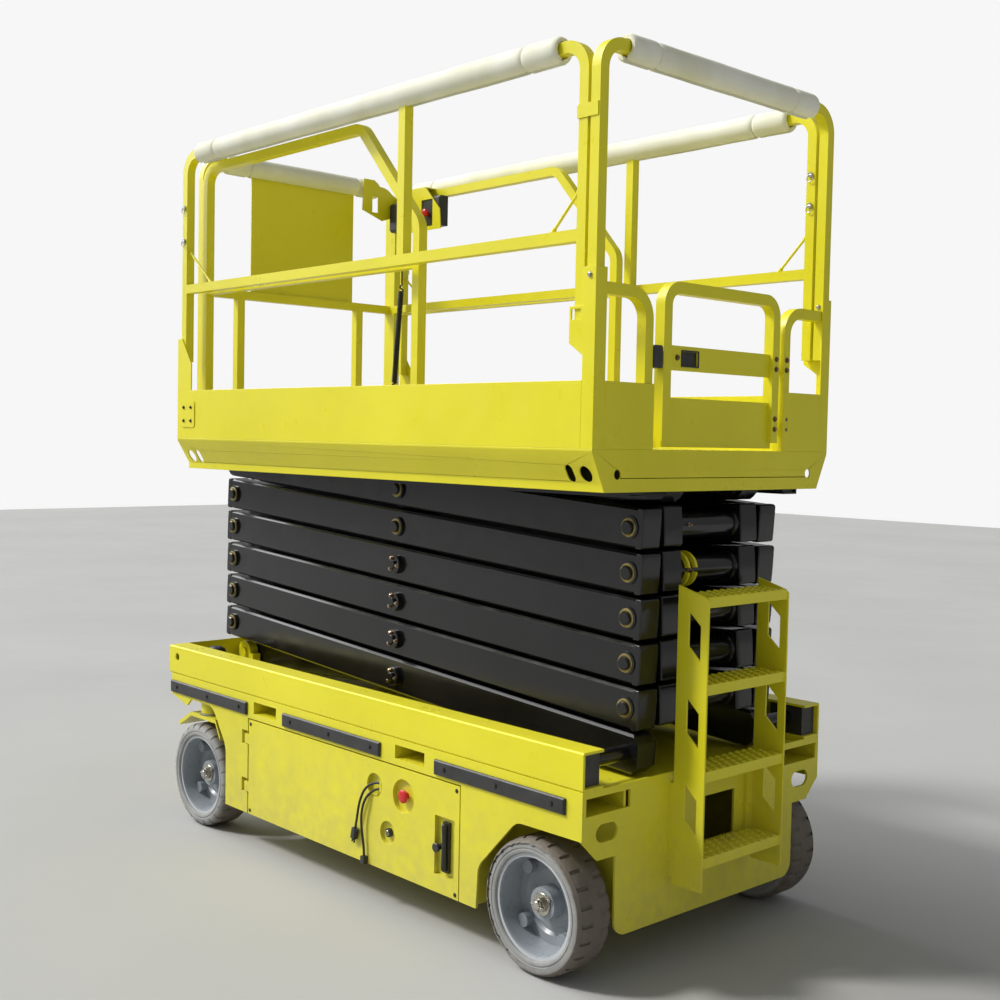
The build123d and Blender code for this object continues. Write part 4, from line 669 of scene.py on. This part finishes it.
for level in levels:
    ring_shape = bmesh.new()
    pin_shape = bmesh.new()
    collar_spots = []
    low_z = base_pin_z + (level - 1) * level_pitch
    for side in (1, -1):
        pin_end(ring_shape, pin_shape, front_pin_x, low_z + level_pitch, side, boss_height)
        if level > 1:
            pin_end(ring_shape, pin_shape, rear_pin_x, low_z, side, boss_height / 2)
        middle = Vector((middle_pin_x, side * (arm_face + boss_height), low_z + level_pitch / 2))
        if level not in collar_levels:
            pin_end(ring_shape, pin_shape, middle_pin_x, middle.z, side, boss_height)
            continue
        turn(pin_shape, middle, (0, side, 0), collar_profile, 36)
        for i in range(3):
            angle = math.radians(70.0 + 120.0 * i)
            around = Vector((math.cos(angle) * bolt_circle, side * collar_top, math.sin(angle) * bolt_circle))
            collar_spots.append((middle + around, (0, side, 0)))
    settle(f"pin_rings_{level}", ring_shape, greased_brass, f"outer_{level}")
    settle(f"pin_ends_{level}", pin_shape, black_enamel, f"outer_{level}")
    if collar_spots:
        bolts(f"collar_bolts_{level}", f"outer_{level}", collar_spots, (5.8, 6.0), (7.2, 1.2), copper_plate)

# Arm ends: square steel end plates, welded on and rounded at the corners, close the box bars. The four ends
# that turn next to the chassis deck and the platform's underside keep the bare chamfered bar.
end_cover, end_depth, end_round = 0.6, 25.5, 9.0
half_height, overhang = 57.0, 50.0
arm_kinds = (("outer", rear_pin_x, front_pin_x, (228.0, 303.0)),
             ("inner", front_pin_x, rear_pin_x, (135.0, 212.0)))


def arm_ends(name, body, low_pin, high_pin, y_range, bare):
    """End plates on both sides' arms, at each pin but the bare one."""
    shape = bmesh.new()
    along = (high_pin - low_pin).normalized()
    across = Vector((-along.z, 0.0, along.x))
    reach = half_height + end_cover
    for pin, out in ((low_pin, -along), (high_pin, along)):
        if pin is bare:
            continue
        tip = pin + out * (overhang + end_cover)
        outline = [tip - out * end_depth - across * reach, tip - out * end_depth + across * reach]
        for up in (1.0, -1.0):
            centre = tip - out * end_round + across * up * (reach - end_round)
            turns = [math.radians(90.0 * i / 4) for i in range(5)]
            if up > 0:
                turns.reverse()
            outline += [centre + (out * math.cos(t) + across * up * math.sin(t)) * end_round for t in turns]
        for side in (1, -1):
            start = Vector((0.0, side * (y_range[0] - end_cover), 0.0))
            width = y_range[1] - y_range[0] + 2.0 * end_cover
            plate(shape, [point + start for point in outline], (0.0, side * width, 0.0))
    round_edges(settle(name, shape, black_enamel, body), 3.0, 40.0)


for level in levels:
    low_z = base_pin_z + (level - 1) * level_pitch
    for kind, low_x, high_x, y_range in arm_kinds:
        low_pin = Vector((low_x, 0.0, low_z))
        high_pin = Vector((high_x, 0.0, low_z + level_pitch))
        bare = {levels[0]: low_pin, levels[-1]: high_pin}.get(level)
        arm_ends(f"{kind}_arm_ends_{level}", f"{kind}_{level}", low_pin, high_pin, y_range, bare)

# Cross tubes: each inner pair of arms is tied by tubes with a welded flange at either end, and a plated
# grease nipple in the rear one. Two yellow split collars for the maintenance prop sit on the fourth tube.
tube_radius, tube_half, nipple_y = 38.0, 135.0, 92.0
flange_profile = [(0, 37.8), (0, 46), (9, 46), (12, 43), (14, 38.4), (14, 37.8), (0, 37.8)]
nipple_profile = [(0, 0), (0, 6), (3, 6), (3, 3.6), (7, 3.6), (8, 4.4), (11, 4.0), (13, 2.4), (13.5, 0)]
for level in levels:
    high_z = base_pin_z + level * level_pitch
    flange_shape = bmesh.new()
    nipple_shape = bmesh.new()
    for x, z in ((rear_pin_x, high_z), (front_pin_x, high_z - level_pitch)):
        for side in (1, -1):
            turn(flange_shape, (x, side * (tube_half - 0.2), z), (0, -side, 0), flange_profile, 40)
    nipple_foot = (rear_pin_x - tube_radius + 0.6, nipple_y, high_z + 3.0)
    turn(nipple_shape, nipple_foot, (-1, 0, 0.1), nipple_profile, 12)
    settle(f"tube_flanges_{level}", flange_shape, black_enamel, f"inner_{level}")
    settle(f"grease_nipple_{level}", nipple_shape, copper_plate, f"inner_{level}")
prop_level, prop_width = 4, 9.0
prop_bore, prop_rim, prop_arc = 38.3, 52.0, 164.0
collar_shape = bmesh.new()
for y in (104.0, 72.0):
    middle = Vector((rear_pin_x, y, base_pin_z + prop_level * level_pitch))
    for start in (8.0, 188.0):
        turns = [math.radians(start + prop_arc * i / 16) for i in range(17)]
        rays = [Vector((math.cos(t), 0, math.sin(t))) for t in turns]
        outline = [middle + ray * prop_bore for ray in rays] + [middle + ray * prop_rim for ray in rays[::-1]]
        plate(collar_shape, outline, (0, -prop_width, 0))
settle("prop_collars", collar_shape, yellow_enamel, f"inner_{prop_level}")

# Slide blocks: black plastic shoes carry the free ends of the arms, along the rails of the chassis below and
# along the channels under the platform above.
slide_plastic = finish("slide_plastic", ((0.02, 0.02, 0.02), (0.05, 0.05, 0.048)),
                       (0.4, 0.6), 16.0, 300.0, 0.12)
paint(slide_plastic, *nodes_in("slide_plastic"))

# Lift cylinder: a black painted barrel that is pinned to the chassis, and a hard chromed rod, ground smooth.
# The rod of the small steering cylinder has the same chrome.
chrome = finish("hard_chrome", ((0.70, 0.70, 0.71), (0.78, 0.78, 0.79)),
                (0.08, 0.16), 8.0, 900.0, 0.02, metal=1.0)
paint(chrome, "lift_rod", "steer_rod")

# Platform floor: steel chequer plate, rolled with crossed lozenges. One tree sets the lozenges on points,
# each turned to its own diagonal. The lanes that the roll-out deck slides on stay plain.
lozenge_tree, given = new_tree("chequer_lozenges", Lozenge_Size="Vector", Enamel="Material")
seed_form = add_node(lozenge_tree, "GeometryNodeMeshIcoSphere", Radius=1.0, Subdivisions=1)
sized = add_node(lozenge_tree, "GeometryNodeTransform", Geometry=seed_form.outputs["Mesh"],
                 Scale=given["Lozenge Size"])
end_tree(lozenge_tree, given["Geometry"], sized.outputs["Geometry"], turned(lozenge_tree), given["Enamel"])
chequer_pitch = 31.0
floor_top, roll_out_top = 1452.0, 1463.0


def chequer(name, body, span_x, span_y, z, keep_off=None):
    """Set lozenges over a floor, except where keep_off says that a lane stays plain."""
    spots = []
    for i in range(int((span_x[1] - span_x[0]) / chequer_pitch) + 1):
        for j in range(int((span_y[1] - span_y[0]) / chequer_pitch) + 1):
            x = span_x[0] + i * chequer_pitch
            y = span_y[0] + j * chequer_pitch
            if keep_off and keep_off(x, y):
                continue
            spots.append(((x, y, z), (0, 0, math.radians(45.0 if (i + j) % 2 else -45.0))))
    settings = {"Lozenge Size": (12.5 * mm, 4.2 * mm, 1.7 * mm), "Enamel": yellow_enamel}
    grow(name, lozenge_tree, spots, "turned", settings, body)


chequer("floor_chequer", "platform", (-1022.0, 1090.0), (-514.0, 520.0), floor_top,
        lambda x, y: x > -300.0 and 385.0 < abs(y) < 480.0)
chequer("roll_out_chequer", "extension", (-258.0, 1040.0), (-414.0, 420.0), roll_out_top)

# Toe boards and corner posts: folded sheet. A raised plate with four bolts closes the front end of each side
# board, and the folding rails' sockets are bolted through the posts.
board_face, cover_thick, cover_top, cover_round = 538.05, 3.2, 541.2, 12.0
cover_corners = ((1084.0, 1579.0, 0.0), (1008.0, 1579.0, 90.0), (1008.0, 1505.0, 180.0),
                 (1084.0, 1505.0, 270.0))
post_bolt_x, post_bolt_z, post_outside, post_inside = -1023.0, 1904.0, 538.2, 500.4
cover_shape = bmesh.new()
cover_spots = []
post_spots = []
for side in (1, -1):
    outline = []
    for x, z, start in cover_corners:
        for i in range(5):
            angle = math.radians(start + 22.5 * i)
            ray = Vector((math.cos(angle), 0.0, math.sin(angle)))
            outline.append(Vector((x, side * board_face, z)) + ray * cover_round)
    plate(cover_shape, outline, (0, side * cover_thick, 0))
    for x in (1020.0, 1072.0):
        for z in (1517.0, 1567.0):
            cover_spots.append(((x, side * cover_top, z), (0, side, 0)))
    post_spots.append(((post_bolt_x, side * post_outside, post_bolt_z), (0, side, 0)))
    post_spots.append(((post_bolt_x, side * post_inside, post_bolt_z), (0, -side, 0)))
settle("board_end_plates", cover_shape, yellow_enamel, "platform")
bolts("board_end_bolts", "platform", cover_spots, (4.8, 3.6), (6.6, 1.0), dark_bolt)
bolts("socket_bolts", "platform", post_spots, (5.8, 4.2), (8.0, 1.2), zinc_plate)

# Guard rails: square steel tube, bent at the corners and folded down for transport. Flat clips on the rear
# posts and ring-pull pins hold them up, and thin steel stays brace the posts.
pin_steel = finish("pin_steel", ((0.30, 0.29, 0.27), (0.48, 0.47, 0.44)),
                   (0.25, 0.45), 40.0, 700.0, 0.08, metal=1.0)
rail_y, rail_half = 516.7, 16.0
rear_post_x, front_post_x, end_post_x = -980.5, 1090.5, -1023.2
clip_outline = ((end_post_x - 12, 2313), (rear_post_x + 20, 2313), (rear_post_x + 20, 2345),
                (rear_post_x + 14, 2349), (end_post_x - 12, 2349))
stay_ends = ((rear_post_x + 16, 2136, -857, 2026), (front_post_x - 16, 2152, 922, 2026))
stay_radius = 4.2
lock_places = ((front_post_x, 2316.0, 1), (front_post_x, 2193.0, 1), (rear_post_x, 2320.0, -1),
               (rear_post_x, 2224.0, -1))
lock_profile = [(0, 0), (0, 6), (4, 6), (4, 9), (7, 9), (8, 8), (8, 0)]
ring_radius, ring_wire, ring_steps, wire_steps = 11.0, 1.5, 20, 8
clip_shape = bmesh.new()
stay_shape = bmesh.new()
lock_shape = bmesh.new()
for side in (1, -1):
    face = side * (rail_y + rail_half + 0.1)
    plate(clip_shape, [(x, face, z) for x, z in clip_outline], (0, side * 3.0, 0))
    for x, z, far_x, far_z in stay_ends:
        start = Vector((x, side * rail_y, z))
        run = Vector((far_x, side * rail_y, far_z)) - start
        stay_profile = [(0, 0), (0, stay_radius), (run.length, stay_radius), (run.length, 0)]
        turn(stay_shape, start, run, stay_profile, 12)
        for spot in (start + run * 0.05, start + run * 0.95):
            turn(stay_shape, spot, run, [(-12, stay_radius), (-9, 6.4), (9, 6.4), (12, stay_radius)], 12)
    for x, z, way in lock_places:
        spot = Vector((x, side * (rail_y + way * (rail_half - 1.0)), z))
        turn(lock_shape, spot, (0, side * way, 0), lock_profile, 20)
        hung = spot + Vector((0.0, side * way * 8.0, -ring_radius))
        rings = []
        for i in range(ring_steps):
            angle = 2.0 * math.pi * i / ring_steps
            ray = Vector((math.cos(angle), 0, math.sin(angle)))
            wire = []
            for k in range(wire_steps):
                t = 2.0 * math.pi * k / wire_steps
                bulge = ray * math.cos(t) + Vector((0, math.sin(t), 0))
                wire.append(lock_shape.verts.new(hung + ray * ring_radius + bulge * ring_wire))
            rings.append(wire)
        skin(lock_shape, rings)
settle("post_clips", clip_shape, yellow_enamel, "platform")
settle("post_stays", stay_shape, yellow_enamel, "platform")
settle("lock_pins", lock_shape, pin_steel, "platform")

# Latch: a block moulded in black plastic, with its corners cut off. It sits on the left loop beside the gate
# and takes the gate's tongue.
latch_shape = bmesh.new()
latch_outline = [(264, 1679), (268, 1675), (296, 1675), (300, 1679), (300, 1733), (296, 1737), (268, 1737),
                 (264, 1733)]
plate(latch_shape, [(-1043.0, y, z) for y, z in latch_outline], (34.0, 0, 0))
settle("gate_latch_block", latch_shape, black_plastic, "platform")

# Foam sleeves: white closed-cell foam tube, slit along its underside and pushed over the top rails in three
# lengths to a side. The rail's yellow shows in the slit.
# The foam's two colours are tinted yellow: a painted reflection of the yellow rails and platform on foam that
# is white.
foam_with_painted_bounce = finish("foam_with_painted_bounce", ((0.74, 0.74, 0.58), (0.85, 0.85, 0.74)), (0.7, 0.85), 7.0, 260.0, 0.45)
pad_radius, pad_bore, slit_half = 38.6, 23.5, 15.0
top_rail_z = 2508.0
end_length, station_pitch, arc_count = 12.0, 24.0, 25
upward = Vector((0, 0, 1))


def sleeve(shape, start, stop, seed):
    """Add one slit foam tube between two points of a rail, a little uneven along it, with eased ends."""
    scatter = random.Random(seed)
    start = Vector(start)
    run = Vector(stop) - start
    along = run.normalized()
    side = along.cross(upward)
    ends = [0.0, 2.0, 6.0, end_length]
    middle = run.length - 2.0 * end_length
    inner = int(middle / station_pitch)
    stations = ends + [end_length + middle * i / inner for i in range(1, inner)]
    stations += [run.length - distance for distance in reversed(ends)]
    arcs = [math.radians(slit_half + (360.0 - 2 * slit_half) * i / arc_count) for i in range(arc_count + 1)]
    phase = scatter.uniform(0.0, 6.0)
    rows = []
    for distance in stations:
        near = min(distance, run.length - distance)
        eased = 5.0 * (1.0 - min(near, end_length) / end_length) ** 2
        wave = 0.45 * math.sin(distance / 61.0 + phase) + scatter.uniform(-0.25, 0.25)
        row = []
        for radius in (pad_radius - eased + wave - 0.5, pad_bore):
            ring = []
            for angle in arcs:
                ray = side * math.sin(angle) - upward * math.cos(angle)
                ring.append(shape.verts.new(start + along * distance + ray * radius))
            row += ring if radius > pad_bore else ring[::-1]
        rows.append(row)
    skin(shape, rows, closed=False)
    for row in (rows[0], rows[-1]):
        last = len(row) - 1
        for k in range(arc_count):
            shape.faces.new((row[k], row[k + 1], row[last - k - 1], row[last - k]))


def sleeves(name, node, body, runs):
    """The sleeves that stand for one CAD node: each run is cut at its shares, with a hairline between."""
    shape = bmesh.new()
    for seed, (start, stop, shares) in enumerate(runs):
        start, stop = Vector(start), Vector(stop)
        hairline = (stop - start).normalized() * 0.8
        for low, high in zip(shares, shares[1:]):
            near, far = start.lerp(stop, low) + hairline, start.lerp(stop, high) - hairline
            sleeve(shape, near, far, 11 * seed + int(90 * low))
    made = settle(name, shape, foam_with_painted_bounce, body, 50.0)
    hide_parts(node)


side_runs = [((-888.0, side * rail_y, top_rail_z), (998.0, side * rail_y, top_rail_z),
              (0.0, 0.07, 0.93, 1.0)) for side in (1, -1)]
end_run = ((end_post_x, 424.0, top_rail_z), (end_post_x, -424.0, top_rail_z), (0.0, 0.13, 0.87, 1.0))
front_run = ((1092.5, 362.0, top_rail_z), (1092.5, -362.0, top_rail_z), (0.0, 0.14, 0.86, 1.0))
sleeves("rail_sleeves", "rail_pads", "platform", side_runs + [end_run])
sleeves("front_sleeve", "front_pad", "extension", [front_run])

# Gate: bent tube with a low sheet and a middle band, which has a black-edged window and the latch's bolt.
# It swings on two hinges, each bolted to the gate's tube and to the loop beside it.
window_low_y, window_high_y, window_low_z, window_high_z = 93.0, 163.0, 1688.0, 1727.0
edge_width, shade_plate_margin = 4.0, 6.0
gate_face, shade_plate_face, hinge_face = -1026.7, -1021.0, -1039.4
hinge_bolt_heights = (1728.0, 1698.0, 1549.0, 1518.0)
gate_edge_shape = bmesh.new()


def gate_pane(x, low_y, high_y, low_z, high_z, thickness):
    """Add an upright rectangle of the gate's window, which faces the rear."""
    outline = [(x, low_y, low_z), (x, high_y, low_z), (x, high_y, high_z), (x, low_y, high_z)]
    plate(gate_edge_shape, outline, (thickness, 0, 0))


edge_low_z, edge_high_z = window_low_z - edge_width, window_high_z + edge_width
gate_pane(gate_face, window_low_y, window_high_y, window_high_z, edge_high_z, -2.0)
gate_pane(gate_face, window_low_y, window_high_y, edge_low_z, window_low_z, -2.0)
gate_pane(gate_face, window_low_y - edge_width, window_low_y, edge_low_z, edge_high_z, -2.0)
gate_pane(gate_face, window_high_y, window_high_y + edge_width, edge_low_z, edge_high_z, -2.0)
# A black plate just behind the window is painted shade for its dark inside, and stands for the latch's black
# works.
gate_pane(shade_plate_face, window_low_y - shade_plate_margin, window_high_y + shade_plate_margin,
          window_low_z - shade_plate_margin, window_high_z + shade_plate_margin, 12.0)
settle("gate_window_edge_and_shade_plate", gate_edge_shape, black_plastic, "gate")
bolts("gate_bolts", "gate", [((gate_face, 184.0, 1709.0), (-1, 0, 0))], (6.5, 4.5), (8.5, 1.2), brown_bolt)
for name, body, y in (("gate_hinge_bolts", "gate", -263.0), ("loop_hinge_bolts", "platform", -317.0)):
    spots = [((hinge_face, y, z), (-1, 0, 0)) for z in hinge_bolt_heights]
    bolts(name, body, spots, (6.0, 4.5), (8.5, 1.2), brown_bolt)

# Control box: a black moulded box under the yellow guard, with the stop button in front. Its curly lead hangs
# from a gland and runs to a socket on the roll-out deck.
mushroom("control_button_cap", "control_button", "extension", 1)
lead_top = Vector((962.5, -408.7, 2304.0))
coil_top, coil_low = Vector((962.5, -408.7, 2125.6)), Vector((1007.5, -408.7, 1655.0))
lead_foot = Vector((1007.5, -408.7, 1493.0))
coil_turns, coil_radius, points_in_turn = 54, 9.0, 12
lead_in_turns, lead_in_pitch = 1.5, 30.0
coil_run = coil_low - coil_top
coil_along = coil_run.normalized()
coil_side = coil_along.cross(Vector((0, 1, 0))).normalized()
coil_third = coil_along.cross(coil_side)
lead_points = [lead_top, lead_top.lerp(coil_top, 0.5), lead_top.lerp(coil_top, 0.9)]
coil_count = coil_turns * points_in_turn
lead_in = lead_in_turns * points_in_turn
close_pitch = (coil_run.length - 2.0 * lead_in_turns * lead_in_pitch) / (coil_turns - 2.0 * lead_in_turns)
travelled = 0.0
for i in range(coil_count + 1):
    angle = 2.0 * math.pi * i / points_in_turn
    ease_in = min(1.0, i / lead_in, (coil_count - i) / lead_in)
    swell = ease_in * ease_in * (3.0 - 2.0 * ease_in)
    ray = coil_side * math.cos(angle) + coil_third * math.sin(angle)
    lead_points.append(coil_top + coil_along * travelled + ray * coil_radius * swell)
    near_end = min(i + 0.5, coil_count - i - 0.5) < lead_in
    travelled += (lead_in_pitch if near_end else close_pitch) / points_in_turn
lead_points += [coil_low.lerp(lead_foot, 0.1), coil_low.lerp(lead_foot, 0.5), lead_foot]
curly_lead = flex("curly_lead", lead_points, 7.0, "extension", 3)
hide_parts("control_lead")

# Studio: the photograph's view from behind the left rear corner, over a pale floor. The light is a soft sun
# from the front left and a bright part of the sky, and the camera sees a plain white backdrop.
camera_place = Vector((-3.37532, 3.01211, 1.47646))
camera_yaw = math.radians(-42.72)
camera_pitch = math.radians(-2.73)
camera_roll = math.radians(1.15)
focal_pixels, image_pixels = 1305.33, 1000.0
forward = Vector((math.cos(camera_yaw) * math.cos(camera_pitch),
                  math.sin(camera_yaw) * math.cos(camera_pitch), math.sin(camera_pitch)))
level_right = Vector((math.sin(camera_yaw), -math.cos(camera_yaw), 0.0))
level_up = level_right.cross(forward)
right = level_right * math.cos(camera_roll) + level_up * math.sin(camera_roll)
up = level_up * math.cos(camera_roll) - level_right * math.sin(camera_roll)
scene = bpy.context.scene
lens_data = bpy.data.cameras.new("photograph_view")
lens_data.sensor_width = 36.0
lens_data.lens = lens_data.sensor_width * focal_pixels / image_pixels
camera = bpy.data.objects.new("photograph_view", lens_data)
camera.matrix_world = Matrix.Translation(camera_place) @ Matrix((right, up, -forward)).transposed().to_4x4()
scene.collection.objects.link(camera)
scene.camera = camera
scene.view_settings.view_transform = "Standard"
floor_half = 20.0
floor_mesh = bpy.data.meshes.new("studio_floor")
floor_corners = [(x * floor_half, y * floor_half, 0.0) for x, y in ((-1, -1), (1, -1), (1, 1), (-1, 1))]
floor_mesh.from_pydata(floor_corners, [], [(0, 1, 2, 3)])
pale_floor = finish("pale_floor", ((0.41, 0.41, 0.405), (0.44, 0.44, 0.435)), (0.75, 0.9), 0.6, 40.0, 0.02)
floor_mesh.materials.append(pale_floor)
floor = bpy.data.objects.new("studio_floor", floor_mesh)
scene.collection.objects.link(floor)
world = bpy.data.worlds.new("studio")
scene.world = world
world.use_nodes = True
air = world.node_tree
bright_part = Vector((0.78, 0.30, 0.55)).normalized()
place = air.nodes.new("ShaderNodeTexCoord")
toward = add_math(air, "DOT_PRODUCT", place.outputs["Generated"], bright_part, kind="ShaderNodeVectorMath")
glow = add_node(air, "ShaderNodeMapRange", {"interpolation_type": "SMOOTHSTEP"}, Value=toward, From_Min=0.84,
                From_Max=0.97, To_Min=0.32, To_Max=4.6)
sky = air.nodes["Background"]
sky.inputs["Color"].default_value = (0.97, 0.985, 1.0, 1.0)
air.links.new(glow.outputs["Result"], sky.inputs["Strength"])
backdrop = add_node(air, "ShaderNodeBackground", Color=(1.0, 1.0, 1.0, 1.0), Strength=0.93)
seen = air.nodes.new("ShaderNodeLightPath")
either = add_node(air, "ShaderNodeMixShader", Fac=seen.outputs["Is Camera Ray"])
air.links.new(sky.outputs["Background"], either.inputs[1])
air.links.new(backdrop.outputs["Background"], either.inputs[2])
air.links.new(either.outputs["Shader"], air.nodes["World Output"].inputs["Surface"])
sun = bpy.data.lights.new("key_light", "SUN")
sun.energy = 2.25
sun.angle = math.radians(9.0)
sun.color = (1.0, 0.975, 0.93)
sun_object = bpy.data.objects.new("key_light", sun)
sun_from = Vector((0.62, 0.66, 0.95))
sun_object.matrix_world = sun_from.to_track_quat("Z", "Y").to_matrix().to_4x4()
scene.collection.objects.link(sun_object)
